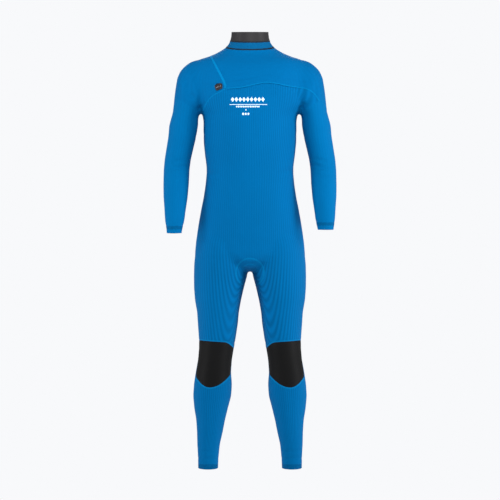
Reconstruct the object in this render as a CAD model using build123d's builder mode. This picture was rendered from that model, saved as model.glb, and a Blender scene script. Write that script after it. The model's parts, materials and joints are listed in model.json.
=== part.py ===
from build123d import *
import os
from math import cos, hypot, pi, radians, sin

# A full-length wetsuit for an adult, standing as it is worn, with a chest zip under a flap.
# X runs to the wearer's left, the chest faces -Y and +Z is up. The origin is the centre of the
# collar's top edge, so heights, which are measured up from the ankle hem, lose suit_height.

# Driving dimensions, in millimetres and degrees
suit_height = 1425.0
wall = 3.0                  # neoprene sheet
crotch_height = 646.0       # the torso ends here in a floor with two leg holes
side_seam_back = 6.0        # front and back panels meet in this plane
zip_height = 1248.0         # centre line of the chest zip
zip_band = (1215.0, 1275.0)  # the chest keeps one section over these heights
chest_oval = (202.0, 112.0)  # half width and half depth of that section
end_share = 0.714           # radius of an oval's ends over its smaller half size
yoke_top = 1374.0
trim_height = 4.0           # the collar is edged by two bound lines of this height
seal_start = 1394.0

# The armhole and the sleeve head fan out from one point below the armpit
fan_x, fan_height = 158.0, 1137.0
armhole_tilt = 4.5
armhole_reach = (23.0, 200.6)
armhole_half_depth = 64.0

# Torso ovals: height, half width, half depth, shift to the back
trunk_ovals = [
    (crotch_height, 182, 106, 6),
    (710, 179, 114, 10),
    (770, 172, 115, 8),
    (830, 162, 109, 4),
    (900, 149, 102, 0),
    (970, 141, 98, 0),
    (1040, 148, 103, 0),
    (1100, 153, 110, 0),
    (1160, 165, 113, 0),
    (zip_band[0], *chest_oval, 0),
]
chest_ovals = [(height, *chest_oval, 0) for height in zip_band]
shoulder_ovals = [
    (zip_band[1], *chest_oval, 0),
    (1300, 198, 102, 2),
    (1320, 190, 89, 4),
    (1336, 178, 77, 6),
    (1346, 138, 73, 7),
    (1356, 108, 70, 7),
    (1366, 90, 67, 6),
    (yoke_top, 79, 66, 5),
]
collar_ovals = [(yoke_top + trim_height, 76, 65, 4), (1384, 71, 63.5, 3), (1387, 68.5, 62.5, 2.5),
                (seal_start - trim_height, 66.5, 62, 2)]
seal_ovals = [(seal_start, 65, 61, 1.5), (1408, 62, 59.5, 0.5), (suit_height, 60, 58, 0)]

# Sleeve head: tilt of the section from upright, its reach from the fan point, half depth
sleeve_fan = [
    (armhole_tilt, *armhole_reach, armhole_half_depth),
    (16.3, 21.0, 192.0, 63),
    (29.5, 18.4, 158.5, 60),
    (48.5, 13.5, 117.6, 57),
]
# Arm ovals: height, centre, half width, half depth
arm_ovals = [(1143, 211.5, 44, 54), (1120, 216, 46, 53)]
upper_sleeve_ovals = [(1120, 216, 46, 53), (1085, 221, 45.5, 51), (1045, 229, 44, 49)]
elbow = (238.0, 0.0, 985.0)
wrist = (245.0, -70.0, 772.0)
forearm_length = hypot(*(b - a for a, b in zip(elbow, wrist)))
forearm_line = tuple((b - a) / forearm_length for a, b in zip(elbow, wrist))
cuff_length = 26.0
cuff_radius = 26.0
# Forearm ovals: distance from the elbow, half width, half depth
elbow_ovals = [(0, 42, 47), (60, 41, 44)]
forearm_ovals = [(60, 41, 44), (104, 39, 40), (145, 34.5, 35), (forearm_length - cuff_length, 26, 26)]

# Leg ovals: height, centre, half width, half depth, shift to the back
hip_ovals = [
    (crotch_height, 94, 86, 80, 6),
    (593, 101, 81, 80, 5),
    (554, 104, 75, 77, 4),
    (500, 104, 67, 73, 2),
]
thigh_ovals = [(500, 104, 67, 73, 2), (445, 105.5, 61, 66, 0)]
knee_ovals = [(445, 105.5, 61, 66, 0), (398, 109, 57, 62, -1), (350, 114.5, 55.5, 60, 0),
              (300, 120, 60, 60, 5), (255, 122.5, 62, 60, 10)]
calf_ovals = [(255, 122.5, 62, 60, 10), (203, 127, 55, 57, 10), (150, 129, 46, 49, 8),
              (95, 133, 37.5, 39, 3), (40, 136, 33, 33, 0)]
knee_pad_levels = (285.0, 424.0)
ankle_cuff_height = 40.0
ankle_radius = 33.0
ankle_x = 136.0

# Chest zip, as radii about the upright line that the chest's front arc turns on
slot_half_height = 7.0
slot_angles = (-20.5, 25.0)
flap_start = -13.4
tape_gap, tape_thickness, tape_width = 0.3, 1.5, 18.0
tooth_pitch, tooth_width, tooth_depth = 5.0, 2.1, 2.2
chain_half_height = 1.6
slider_angle, slider_half_angle = -16.6, 1.5
slider_half_height = 6.0
pull_angle = -17.4
pull_length, pull_width, pull_thickness, pull_lean = 26.0, 19.0, 1.2, 20.0
pull_corner = 4.0
stud_radius, stud_clearance = 1.5, 0.06
flap_gap, flap_thickness = 3.2, 2.0
flap_root = (1262.0, 1272.0)
flap_edge = 1243.0
barrier_levels, barrier_behind = (1218.0, 1274.0), (9.0, 7.0)
cover_past_slot = 2.0       # degrees that the flap and the barrier run past the slot's end
stop_angle = 0.5            # width of an end stop, in degrees
teeth_from_stop = 0.8       # where the teeth start and end, in degrees from the slot's ends
slider_gap = 0.3            # clear of the teeth behind it
slider_sunk = 0.6           # how far the slider lies under the chest's outer face
pull_proud = 0.4            # how far the pull hangs clear of the chest's outer face
stud_head = 0.7             # thickness of the head that keeps the pull on its stud
stud_head_spread = 1.8      # its radius, over the stud's
pull_play = 0.2             # between the tab and the stud's head
stud_root = 0.4             # how far the stud is let into the slider
pull_overhang = 4.0         # how far the tab runs past the middle of its stud
box_size = 1000.0           # a block that runs past the suit on every side


def at(height, x=0.0, back=0.0):
    """A level plane at this height above the ankle hem."""
    return Plane(origin=(x, back, height - suit_height))


def end_radius(half_width, half_depth):
    return end_share * min(half_width, half_depth)


def front_arc(half_width, half_depth, end):
    """How far behind an oval's middle its front arc is centred, and that arc's radius."""
    reach, depth = half_width - end, half_depth - end
    set_back = (reach**2 - depth**2) / (2 * depth)
    return set_back, half_depth + set_back


def oval_block(ovals, inset, ruled=False):
    """A solid through torso ovals, each of four tangent arcs, this far inside the stated ones."""
    with BuildPart() as block:
        for height, half_width, half_depth, back in ovals:
            end = end_radius(half_width, half_depth)
            set_back, radius = front_arc(half_width, half_depth, end)
            share = (radius - inset) / (radius - end)
            x, y = (half_width - end) * share, set_back * (share - 1)
            wide, deep = half_width - inset, half_depth - inset
            with BuildSketch(at(height, back=back)):
                with BuildLine():
                    ThreePointArc((-x, -y), (0, -deep), (x, -y))
                    ThreePointArc((x, -y), (wide, 0), (x, y))
                    ThreePointArc((x, y), (0, deep), (-x, y))
                    ThreePointArc((-x, y), (-wide, 0), (-x, -y))
                make_face()
        loft(ruled=ruled)
    return block.part


def fan_plane(side, tilt, reach=(0.0, 0.0)):
    """The plane of a sleeve head section, centred between its two reaches."""
    along = (side * sin(radians(tilt)), 0, cos(radians(tilt)))
    middle = sum(reach) / 2
    origin = (side * fan_x + along[0] * middle, 0, fan_height - suit_height + along[2] * middle)
    return Plane(origin=origin, x_dir=along, z_dir=(side * along[2], 0, -side * along[0]))


def forearm_plane(side, distance):
    """The plane across the forearm at this distance from the elbow."""
    line = (side * forearm_line[0], forearm_line[1], forearm_line[2])
    start = (side * elbow[0], elbow[1], elbow[2] - suit_height)
    origin = tuple(p + d * distance for p, d in zip(start, line))
    return Plane(origin=origin, x_dir=(1, 0, -line[0] / line[2]), z_dir=line)


def ring_block(sections, inset, ruled=False):
    """A solid through elliptical sections, this far inside the stated ones."""
    with BuildPart() as block:
        for plane, half_width, half_depth in sections:
            with BuildSketch(plane):
                Ellipse(half_width - inset, half_depth - inset)
        loft(ruled=ruled)
    return block.part


def tube(name, sections, ruled=False):
    """One open-ended tube of neoprene through elliptical sections."""
    with BuildPart() as shell:
        add(ring_block(sections, 0, ruled))
        add(ring_block(sections, wall, ruled), mode=Mode.SUBTRACT)
    save(shell, name)


def save(builder, name):
    builder.part.label = name
    export_step(builder.part, f"parts/{name}.step")


def zip_plane(angle):
    """An upright plane through the zip's turning line: x runs out from it and y runs up."""
    a = radians(angle)
    return Plane(origin=(0, zip_back, 0), x_dir=(sin(a), -cos(a), 0), z_dir=(-cos(a), -sin(a), 0))


def sector(radii, levels, angles):
    """A block bent about the zip's turning line, between these radii, heights and angles."""
    with BuildPart() as block:
        with BuildSketch(zip_plane(angles[0])):
            with Locations((sum(radii) / 2, sum(levels) / 2 - suit_height)):
                Rectangle(radii[1] - radii[0], levels[1] - levels[0])
        revolve(axis=zip_axis, revolution_arc=angles[1] - angles[0])
    return block.part


def out_of_chest(angle, radius, height=zip_height):
    """A plane that faces out of the chest at this angle and radius; its y runs up."""
    a = radians(angle)
    origin = (radius * sin(a), zip_back - radius * cos(a), height - suit_height)
    return Plane(origin=origin, x_dir=(cos(a), sin(a), 0), z_dir=(sin(a), -cos(a), 0))


os.makedirs("parts", exist_ok=True)
zip_back, chest_radius = front_arc(*chest_oval, end_radius(*chest_oval))
zip_axis = Axis((0, zip_back, 0), (0, 0, 1))


# Torso shell, from which the panels are cut

def torso_solid(inset):
    """The torso as a closed block, this far inside its outer surface on every side."""
    with BuildPart() as block:
        add(oval_block(trunk_ovals, inset))
        add(oval_block(chest_ovals, inset, ruled=True))
        add(oval_block(shoulder_ovals, inset, ruled=True))
        for side in (1, -1):
            with BuildSketch(fan_plane(side, armhole_tilt).offset(-inset)):
                with Locations((box_size / 4 - inset, 0)):
                    Rectangle(box_size / 2, box_size / 2)
            extrude(amount=box_size / 4, mode=Mode.SUBTRACT)
        split(bisect_by=at(crotch_height + inset), keep=Keep.TOP)
    return block.part


with BuildPart() as torso_shell:
    add(torso_solid(0))
    add(torso_solid(wall), mode=Mode.SUBTRACT)
    for side in (1, -1):
        with BuildSketch(fan_plane(side, armhole_tilt, armhole_reach)):
            Ellipse((armhole_reach[1] - armhole_reach[0]) / 2 - wall, armhole_half_depth - wall)
        extrude(amount=2 * wall, both=True, mode=Mode.SUBTRACT)
        height, centre, half_width, half_depth, back = hip_ovals[0]
        with BuildSketch(at(height, side * centre, back)):
            Ellipse(half_width - wall, half_depth - wall)
        extrude(amount=2 * wall, mode=Mode.SUBTRACT)

# Where the inserts are let into the panels
gusset_x, gusset_levels, gusset_half_depth = 134.0, (1085.0, 1172.0), 46.0
crotch_insert_radius, crotch_tape_width, tape_proud = 45.0, 5.0, 0.8

gusset_blocks = {}
for side_name, side in (("left", 1), ("right", -1)):
    with BuildPart() as gusset_block:
        with BuildSketch(at(gusset_levels[0], side * (gusset_x + 50))):
            Rectangle(100, 2 * gusset_half_depth)
        extrude(amount=gusset_levels[1] - gusset_levels[0])
    gusset_blocks[side_name] = gusset_block.part
    with BuildPart() as underarm_gusset:
        add(torso_shell.part)
        add(gusset_block.part, mode=Mode.INTERSECT)
    save(underarm_gusset, f"{side_name}_underarm_gusset")

with BuildPart() as crotch_block:
    with BuildSketch(Plane(origin=(0, 0, crotch_height - suit_height), z_dir=(0, -1, 0))):
        Circle(crotch_insert_radius)
    extrude(amount=box_size / 4, both=True)

with BuildPart() as crotch_gusset:
    add(torso_shell.part)
    add(crotch_block.part, mode=Mode.INTERSECT)
save(crotch_gusset, "crotch_gusset")

with BuildPart() as zip_slot:
    middle = (zip_height - slot_half_height, zip_height + slot_half_height)
    add(sector((chest_radius - 2 * wall, chest_radius + wall), middle, slot_angles))

with BuildPart() as body_shell:
    add(torso_shell.part)
    add(gusset_blocks["left"], mode=Mode.SUBTRACT)
    add(gusset_blocks["right"], mode=Mode.SUBTRACT)
    add(crotch_block.part, mode=Mode.SUBTRACT)
    add(zip_slot.part, mode=Mode.SUBTRACT)

side_plane = Plane(origin=(0, side_seam_back, 0), z_dir=(0, 1, 0))

with BuildPart() as back_panel:
    add(body_shell.part)
    split(bisect_by=side_plane, keep=Keep.TOP)
save(back_panel, "back_panel")

with BuildPart() as front_panel:
    add(body_shell.part)
    split(bisect_by=side_plane, keep=Keep.BOTTOM)
    split(bisect_by=at(zip_height), keep=Keep.BOTTOM)
save(front_panel, "front_panel")

# The diagonal seam runs from the flap's end up to the collar on the wearer's right
seam_low, seam_high = (-76.0, 1243.0), (-125.0, 1341.0)
seam_run = hypot(seam_high[0] - seam_low[0], seam_high[1] - seam_low[1])
seam_across = ((seam_high[1] - seam_low[1]) / seam_run, 0, (seam_low[0] - seam_high[0]) / seam_run)
seam_plane = Plane(origin=(seam_low[0], 0, seam_low[1] - suit_height), x_dir=(0, 1, 0), z_dir=seam_across)

with BuildPart() as neck_yoke:
    add(body_shell.part)
    split(bisect_by=side_plane, keep=Keep.BOTTOM)
    split(bisect_by=at(zip_height), keep=Keep.TOP)
    split(bisect_by=seam_plane, keep=Keep.TOP)
save(neck_yoke, "neck_yoke")

with BuildPart() as right_shoulder_panel:
    add(body_shell.part)
    split(bisect_by=side_plane, keep=Keep.BOTTOM)
    split(bisect_by=at(zip_height), keep=Keep.TOP)
    split(bisect_by=seam_plane, keep=Keep.BOTTOM)
save(right_shoulder_panel, "right_shoulder_panel")

# Glued seam tapes stand a little proud of the panels
shoulder_tape_width = 9.0
tape_levels = (1278.0, 1366.0)

with BuildPart() as proud_skin:
    add(torso_solid(-tape_proud))
    add(torso_solid(0), mode=Mode.SUBTRACT)

with BuildPart() as shoulder_seam_tape:
    add(proud_skin.part)
    split(bisect_by=side_plane, keep=Keep.BOTTOM)
    split(bisect_by=seam_plane.offset(-shoulder_tape_width / 2), keep=Keep.TOP)
    split(bisect_by=seam_plane.offset(shoulder_tape_width / 2), keep=Keep.BOTTOM)
    split(bisect_by=at(tape_levels[0]), keep=Keep.TOP)
    split(bisect_by=at(tape_levels[1]), keep=Keep.BOTTOM)
save(shoulder_seam_tape, "shoulder_seam_tape")

with BuildPart() as crotch_seam_tape:
    with BuildSketch(Plane(origin=(0, 0, crotch_height - suit_height), z_dir=(0, -1, 0))):
        Circle(crotch_insert_radius + crotch_tape_width / 2)
        Circle(crotch_insert_radius - crotch_tape_width / 2, mode=Mode.SUBTRACT)
    extrude(amount=box_size / 4, both=True)
    add(proud_skin.part, mode=Mode.INTERSECT)
    split(bisect_by=at(crotch_height), keep=Keep.TOP)
save(crotch_seam_tape, "crotch_seam_tape")

# Collar, the bound lines along its two edges, and the smooth neck seal

with BuildPart() as outer_collar:
    add(oval_block(collar_ovals, 0))
    add(oval_block(collar_ovals, wall), mode=Mode.SUBTRACT)
save(outer_collar, "outer_collar")

collar_trim_ovals = [shoulder_ovals[-1], collar_ovals[0]]
with BuildPart() as collar_trim:
    add(oval_block(collar_trim_ovals, -tape_proud, ruled=True))
    add(oval_block(collar_trim_ovals, wall, ruled=True), mode=Mode.SUBTRACT)
save(collar_trim, "collar_trim")

seal_trim_ovals = [collar_ovals[-1], seal_ovals[0]]
with BuildPart() as seal_trim:
    add(oval_block(seal_trim_ovals, -tape_proud, ruled=True))
    add(oval_block(seal_trim_ovals, wall, ruled=True), mode=Mode.SUBTRACT)
save(seal_trim, "seal_trim")

with BuildPart() as neck_seal:
    add(oval_block(seal_ovals, 0))
    add(oval_block(seal_ovals, wall), mode=Mode.SUBTRACT)
save(neck_seal, "neck_seal")


# Chest zip

chain_back = chest_radius - wall - tape_gap - tape_thickness
tape_radii = (chain_back, chain_back + tape_thickness)
tooth_radii = (chain_back - 0.2, chain_back - 0.2 + tooth_depth)

with BuildPart() as zip_tape_lower:
    add(sector(tape_radii, (zip_height - tape_width, zip_height - chain_half_height), slot_angles))
save(zip_tape_lower, "zip_tape_lower")

with BuildPart() as zip_tape_upper:
    add(sector(tape_radii, (zip_height + chain_half_height, zip_height + tape_width), slot_angles))
save(zip_tape_upper, "zip_tape_upper")

chain_angles = (slot_angles[0] + teeth_from_stop, slot_angles[1] - teeth_from_stop)
tooth_step = tooth_pitch / chain_back * 180 / pi
tooth_angle = tooth_step * tooth_width / tooth_pitch
tooth_count = int((chain_angles[1] - chain_angles[0]) / tooth_step) - 1
tooth_overlap = 1.0         # how far a tooth reaches past the chain's centre line

for row, direction, shift in (("lower", -1, 0.0), ("upper", 1, 0.5)):
    with BuildPart() as zip_teeth:
        ends = (zip_height + direction * chain_half_height, zip_height - direction * tooth_overlap)
        for number in range(tooth_count):
            start = chain_angles[0] + (number + shift) * tooth_step
            add(sector(tooth_radii, (min(ends), max(ends)), (start, start + tooth_angle)))
    save(zip_teeth, f"zip_teeth_{row}")

with BuildPart() as zip_end_stops:
    stop_levels = (zip_height - chain_half_height, zip_height + chain_half_height)
    add(sector(tooth_radii, stop_levels, (slot_angles[0], slot_angles[0] + stop_angle)))
    add(sector(tooth_radii, stop_levels, (slot_angles[1] - stop_angle, slot_angles[1])))
save(zip_end_stops, "zip_end_stops")

with BuildPart() as inner_barrier:
    barrier_radii = tuple(chest_radius - behind for behind in barrier_behind)
    barrier_angles = (slot_angles[0] - 2 * cover_past_slot, slot_angles[1] + cover_past_slot)
    add(sector(barrier_radii, barrier_levels, barrier_angles))
save(inner_barrier, "inner_barrier")

flap_radii = (chest_radius + flap_gap, chest_radius + flap_gap + flap_thickness)
with BuildPart() as zip_flap:
    flap_angles = (flap_start, slot_angles[1] + cover_past_slot)
    add(sector(flap_radii, (flap_edge, flap_root[1]), flap_angles))
    add(sector((chest_radius, flap_radii[1]), flap_root, flap_angles))
save(zip_flap, "zip_flap")

slider_radii = (tooth_radii[1] + slider_gap, chest_radius - slider_sunk)
pull_radii = (chest_radius + pull_proud, chest_radius + pull_proud + pull_thickness)
head_radius = pull_radii[1] + pull_play
with BuildPart() as zip_slider:
    slider_levels = (zip_height - slider_half_height, zip_height + slider_half_height)
    slider_angles = (slider_angle - slider_half_angle, slider_angle + slider_half_angle)
    add(sector(slider_radii, slider_levels, slider_angles))
    with BuildSketch(out_of_chest(pull_angle, slider_radii[1] - stud_root)):
        Circle(stud_radius)
    extrude(amount=head_radius + stud_head - slider_radii[1] + stud_root)
    with BuildSketch(out_of_chest(pull_angle, head_radius)):
        Circle(stud_head_spread * stud_radius)
    extrude(amount=stud_head)
save(zip_slider, "zip_slider")

with BuildPart() as zip_pull:
    with BuildSketch(out_of_chest(pull_angle, pull_radii[0])):
        with Locations(Location((0, 0), pull_lean)):
            with Locations((pull_overhang - pull_length / 2, 0)):
                RectangleRounded(pull_length, pull_width, pull_corner)
        Circle(stud_radius + stud_clearance, mode=Mode.SUBTRACT)
    extrude(amount=pull_thickness)
save(zip_pull, "zip_pull")


# Arms and legs

def level_sections(side, ovals):
    """Arm ovals as level sections."""
    return [(at(height, side * centre), wide, deep) for height, centre, wide, deep in ovals]


def leg_sections(side, ovals):
    """Leg ovals as level sections."""
    return [(at(height, side * centre, back), wide, deep) for height, centre, wide, deep, back in ovals]


def forearm_sections(side, ovals):
    return [(forearm_plane(side, distance), wide, deep) for distance, wide, deep in ovals]


def cuff(name, plane, radius, length):
    """A plain round cuff, from the sleeve or leg that it is sewn to down to its hem."""
    with BuildPart() as band:
        with BuildSketch(plane):
            Circle(radius)
            Circle(radius - wall, mode=Mode.SUBTRACT)
        extrude(amount=length)
    save(band, name)


for side_name, side in (("left", 1), ("right", -1)):
    head = [
        (fan_plane(side, tilt, (near, far)), (far - near) / 2, half_depth)
        for tilt, near, far, half_depth in sleeve_fan
    ]
    tube(f"{side_name}_shoulder_sleeve", head + level_sections(side, arm_ovals), ruled=True)
    tube(f"{side_name}_upper_sleeve", level_sections(side, upper_sleeve_ovals))
    bend = level_sections(side, upper_sleeve_ovals[-1:]) + forearm_sections(side, elbow_ovals)
    tube(f"{side_name}_elbow_section", bend)
    tube(f"{side_name}_forearm_sleeve", forearm_sections(side, forearm_ovals))
    wrist_plane = forearm_plane(side, forearm_length - cuff_length)
    cuff(f"{side_name}_wrist_cuff", wrist_plane, cuff_radius, cuff_length)

    tube(f"{side_name}_hip_section", leg_sections(side, hip_ovals))
    tube(f"{side_name}_thigh_panel", leg_sections(side, thigh_ovals))

    with BuildPart() as knee_front_block:
        with BuildSketch(at(knee_pad_levels[0], side * knee_ovals[2][1], -box_size / 4)):
            Rectangle(box_size / 4, box_size / 2)
        extrude(amount=knee_pad_levels[1] - knee_pad_levels[0])
    knee_sections = leg_sections(side, knee_ovals)

    with BuildPart() as knee_back:
        add(ring_block(knee_sections, 0))
        add(ring_block(knee_sections, wall), mode=Mode.SUBTRACT)
        add(knee_front_block.part, mode=Mode.SUBTRACT)
    save(knee_back, f"{side_name}_knee_back")

    with BuildPart() as knee_pad:
        add(ring_block(knee_sections, 0))
        add(ring_block(knee_sections, wall), mode=Mode.SUBTRACT)
        add(knee_front_block.part, mode=Mode.INTERSECT)
    save(knee_pad, f"{side_name}_knee_pad")

    tube(f"{side_name}_calf_panel", leg_sections(side, calf_ovals))
    ankle_plane = Plane(origin=(side * ankle_x, 0, ankle_cuff_height - suit_height), z_dir=(0, 0, -1))
    cuff(f"{side_name}_ankle_cuff", ankle_plane, ankle_radius, ankle_cuff_height)

print("chest arc radius", round(chest_radius, 2), "centred behind the origin by", round(zip_back, 2))
print("forearm line", [round(d, 4) for d in forearm_line], "length", round(forearm_length, 2))
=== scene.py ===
# %% [markdown]
# A full wetsuit is one stretchy skin: foam rubber panels with knitted jersey glued to both faces,
# cut flat and sewn edge to edge. It is filled out here as on a wearer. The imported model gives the
# frame: every piece sits where its sub-part does, and moves with its body.

# %% Load the frame
import bmesh
import bpy
import json
import math
import numpy as np
from mathutils import Matrix, Vector


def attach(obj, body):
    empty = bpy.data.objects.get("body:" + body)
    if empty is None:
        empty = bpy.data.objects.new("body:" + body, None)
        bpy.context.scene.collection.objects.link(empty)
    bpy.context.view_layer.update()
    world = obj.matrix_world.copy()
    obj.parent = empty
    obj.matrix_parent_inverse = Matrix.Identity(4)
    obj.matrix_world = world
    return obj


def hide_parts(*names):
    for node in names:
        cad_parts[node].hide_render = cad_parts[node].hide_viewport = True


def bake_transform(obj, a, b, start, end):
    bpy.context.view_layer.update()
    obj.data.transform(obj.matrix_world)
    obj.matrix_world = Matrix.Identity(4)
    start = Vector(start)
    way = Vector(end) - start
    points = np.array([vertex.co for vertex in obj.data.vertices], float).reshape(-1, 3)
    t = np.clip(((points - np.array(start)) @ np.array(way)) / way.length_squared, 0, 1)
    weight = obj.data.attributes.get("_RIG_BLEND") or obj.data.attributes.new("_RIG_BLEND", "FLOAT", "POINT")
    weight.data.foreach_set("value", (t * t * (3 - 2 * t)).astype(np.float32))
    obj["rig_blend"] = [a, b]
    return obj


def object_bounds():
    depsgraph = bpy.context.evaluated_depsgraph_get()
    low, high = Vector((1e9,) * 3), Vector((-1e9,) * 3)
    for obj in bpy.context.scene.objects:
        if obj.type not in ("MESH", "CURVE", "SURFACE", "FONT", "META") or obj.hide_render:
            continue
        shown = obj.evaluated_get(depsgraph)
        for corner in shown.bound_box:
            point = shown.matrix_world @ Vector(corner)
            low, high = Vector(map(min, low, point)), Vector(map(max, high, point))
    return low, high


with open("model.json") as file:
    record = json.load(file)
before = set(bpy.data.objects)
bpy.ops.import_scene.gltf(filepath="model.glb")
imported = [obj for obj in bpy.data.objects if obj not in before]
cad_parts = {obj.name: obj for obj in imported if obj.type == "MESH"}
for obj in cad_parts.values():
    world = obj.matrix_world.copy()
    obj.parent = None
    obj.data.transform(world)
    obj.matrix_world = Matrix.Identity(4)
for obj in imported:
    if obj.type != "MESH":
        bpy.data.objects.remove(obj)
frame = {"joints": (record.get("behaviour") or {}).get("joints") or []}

cad_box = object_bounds()
suit_height = -cad_box[0][2]          # the origin is the collar's top edge, the hem is lowest
joints = {joint["name"]: joint for joint in frame["joints"]}
sides = (("left", 1), ("right", -1))  # the wearer's left is +X
print("suit height", round(suit_height, 3))

# %% [markdown]
# The camera stands level with the suit's middle, far off with a long lens, so that the suit
# stands upright and flat. Soft boxes stand in front of it and behind it, and two tall ones at the
# sides brighten the edges of the arms and legs.

# %% Camera, floor and lights
picture_width = 1.625                 # what the picture spans where the suit stands
camera_distance = 12.0
camera_level = 0.7166 - suit_height
sensor = 36.0

bpy.ops.object.camera_add(location=(0, -camera_distance, camera_level), rotation=(math.pi / 2, 0, 0))
camera = bpy.context.object
camera.data.sensor_width = sensor
camera.data.lens = sensor * camera_distance / picture_width
bpy.context.scene.camera = camera

floor_size, floor_gap = 40, 0.35        # the suit hangs a little above the floor
bpy.ops.mesh.primitive_plane_add(size=floor_size, location=(0, 0, -suit_height - floor_gap))
floor = bpy.context.object
floor.name = "floor"


def area_light(name, place, target, width, height, power):
    """A soft box at place that points at target."""
    bpy.ops.object.light_add(type="AREA", location=place)
    light = bpy.context.object
    light.name = name
    light.data.shape = "RECTANGLE"
    light.data.size, light.data.size_y = width, height
    light.data.energy = power
    light.rotation_euler = (Vector(target) - Vector(place)).to_track_quat("-Z", "Y").to_euler()


suit_middle, suit_chest = (0, 0, camera_level), (0, 0, -0.2)
strip_level, strip_wide, strip_tall = camera_level - 0.05, 0.5, 2.4
area_light("front_box", (0.1, -1.6, 0.9), suit_chest, 0.8, 0.6, 38)
area_light("left_strip", (1.9, -0.7, strip_level), suit_middle, strip_wide, strip_tall, 50)
area_light("right_strip", (-1.9, -0.7, strip_level), suit_middle, strip_wide, strip_tall, 32)
area_light("back_box", (0, 3.0, 1.0), suit_middle, 2.0, 1.6, 46)

# %% [markdown]
# The backdrop is an even, pale studio. A camera ray sees it at full strength, so the ground behind
# the suit stays pale, while the suit is lit by a weaker copy of it, so its colours stay deep. A
# painted wall would do the same, but its shade would change from every side.

# %% The pale studio
backdrop_strength, fill_strength = 1.0, 0.37

pale = (0.939, 0.947, 0.965, 1)         # the backdrop, and the floor that runs into it
world = bpy.data.worlds.new("studio")
world.use_nodes = True
nodes, links = world.node_tree.nodes, world.node_tree.links
seen, lit = nodes["Background"], nodes.new("ShaderNodeBackground")
rays, mix = nodes.new("ShaderNodeLightPath"), nodes.new("ShaderNodeMixShader")
for background, strength in ((seen, backdrop_strength), (lit, fill_strength)):
    background.inputs["Color"].default_value = pale
    background.inputs["Strength"].default_value = strength
links.new(rays.outputs["Is Camera Ray"], mix.inputs[0])
links.new(lit.outputs[0], mix.inputs[1])
links.new(seen.outputs[0], mix.inputs[2])
links.new(mix.outputs[0], nodes["World Output"].inputs["Surface"])
bpy.context.scene.world = world
bpy.context.scene.view_settings.view_transform = "Standard"

# %% [markdown]
# Two effects come back in nearly every material: the ribs of the knitted jersey, which run down
# the body, and the slight unevenness of dyed cloth. They are too fine to model, and a painted
# image would blur close up, so each is a node group, built once. The ribs read the suit's own
# map, laid out in metres round and along each limb, so they follow the surface. The dye reads
# the place on the suit. The rib group also gives painted shade: the colour is darker in the
# furrows and lighter on the ribs.

# %% Node helpers


def link(tree, source, target):
    """Joins an output socket to an input socket."""
    tree.links.new(source, target)


def math_node(tree, operation, first, second=None):
    """A maths node; its inputs are sockets or plain numbers."""
    node = tree.nodes.new("ShaderNodeMath")
    node.operation = operation
    for socket, value in zip(node.inputs, (first, second)):
        if value is None:
            continue
        if isinstance(value, (int, float)):
            socket.default_value = value
        else:
            link(tree, value, socket)
    return node.outputs[0]


def group_with(name, inputs, outputs):
    """An empty node group with float inputs and outputs, and its two end nodes."""
    tree = bpy.data.node_groups.new(name, "ShaderNodeTree")
    for title, value in inputs:
        socket = tree.interface.new_socket(title, in_out="INPUT", socket_type="NodeSocketFloat")
        socket.default_value = value
    for title in outputs:
        tree.interface.new_socket(title, in_out="OUTPUT", socket_type="NodeSocketFloat")
    return tree, tree.nodes.new("NodeGroupInput"), tree.nodes.new("NodeGroupOutput")


def noise(tree, vector, scale, detail=2.0):
    """Soft random values from 0 to 1 that change over the surface."""
    node = tree.nodes.new("ShaderNodeTexNoise")
    node.inputs["Scale"].default_value = scale
    node.inputs["Detail"].default_value = detail
    link(tree, vector, node.inputs["Vector"])
    return node.outputs["Fac"]


# %% The knit group: ribs down the body, the small loops of the yarn, and painted shade in the furrows


def knit_group():
    """Gives the height of the knit, and a painted shade: darker colour in the furrows, lighter on the ribs.
    """
    tree, start, end = group_with(
        "knit", [("Rib Pitch", 0.008), ("Rib Depth", 0.6), ("Loop Pitch", 0.0016)], ["Height", "Shade"]
    )
    uv = tree.nodes.new("ShaderNodeUVMap")
    uv.uv_map = "suit"
    split = tree.nodes.new("ShaderNodeSeparateXYZ")
    link(tree, uv.outputs[0], split.inputs[0])
    turn = 2 * math.pi

    def wave(coordinate, pitch):
        phase = math_node(tree, "DIVIDE", math_node(tree, "MULTIPLY", coordinate, turn), pitch)
        return math_node(tree, "SINE", phase)

    # Painted shade: the ribs also darken the colour in their furrows and lighten it on their crests.
    loop_share, painted_shade_share = 0.25, 0.5   # the loops' height and the furrows' dark, against the ribs
    rib = wave(split.outputs["X"], start.outputs["Rib Pitch"])
    across = wave(split.outputs["X"], start.outputs["Loop Pitch"])
    along = wave(split.outputs["Y"], start.outputs["Loop Pitch"])
    loops = math_node(tree, "MULTIPLY", math_node(tree, "MULTIPLY", across, along), loop_share)
    patchy = noise(tree, uv.outputs[0], 9.0)
    worn = math_node(tree, "MULTIPLY", rib, patchy)
    ribs = math_node(tree, "MULTIPLY", worn, start.outputs["Rib Depth"])
    link(tree, math_node(tree, "ADD", ribs, loops), end.inputs["Height"])
    link(tree, math_node(tree, "MULTIPLY", ribs, painted_shade_share), end.inputs["Shade"])
    return tree


# %% The dye group: broad cloudiness and fine grain


def dye_group():
    """A factor about 1 that varies over the cloth, from broad clouds and fine specks."""
    tree, start, end = group_with("dye", [("Clouds", 0.1), ("Specks", 0.1)], ["Value"])
    place = tree.nodes.new("ShaderNodeTexCoord")
    total = 1.0
    for kind, scale, detail in (("Clouds", 6.0, 3.0), ("Specks", 900.0, 2.0)):
        spread = math_node(tree, "SUBTRACT", noise(tree, place.outputs["Object"], scale, detail), 0.5)
        total = math_node(tree, "ADD", math_node(tree, "MULTIPLY", spread, start.outputs[kind]), total)
    link(tree, total, end.inputs["Value"])
    return tree


knit, dye = knit_group(), dye_group()

# %% [markdown]
# The jersey is a matt cloth with a soft sheen where it is seen edge on. Foam rubber left bare, as
# on the neck, is smooth and a little glossy. One function builds each kind, and the panels differ
# in colour, rib depth and gloss.

# %% Material helpers


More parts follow.
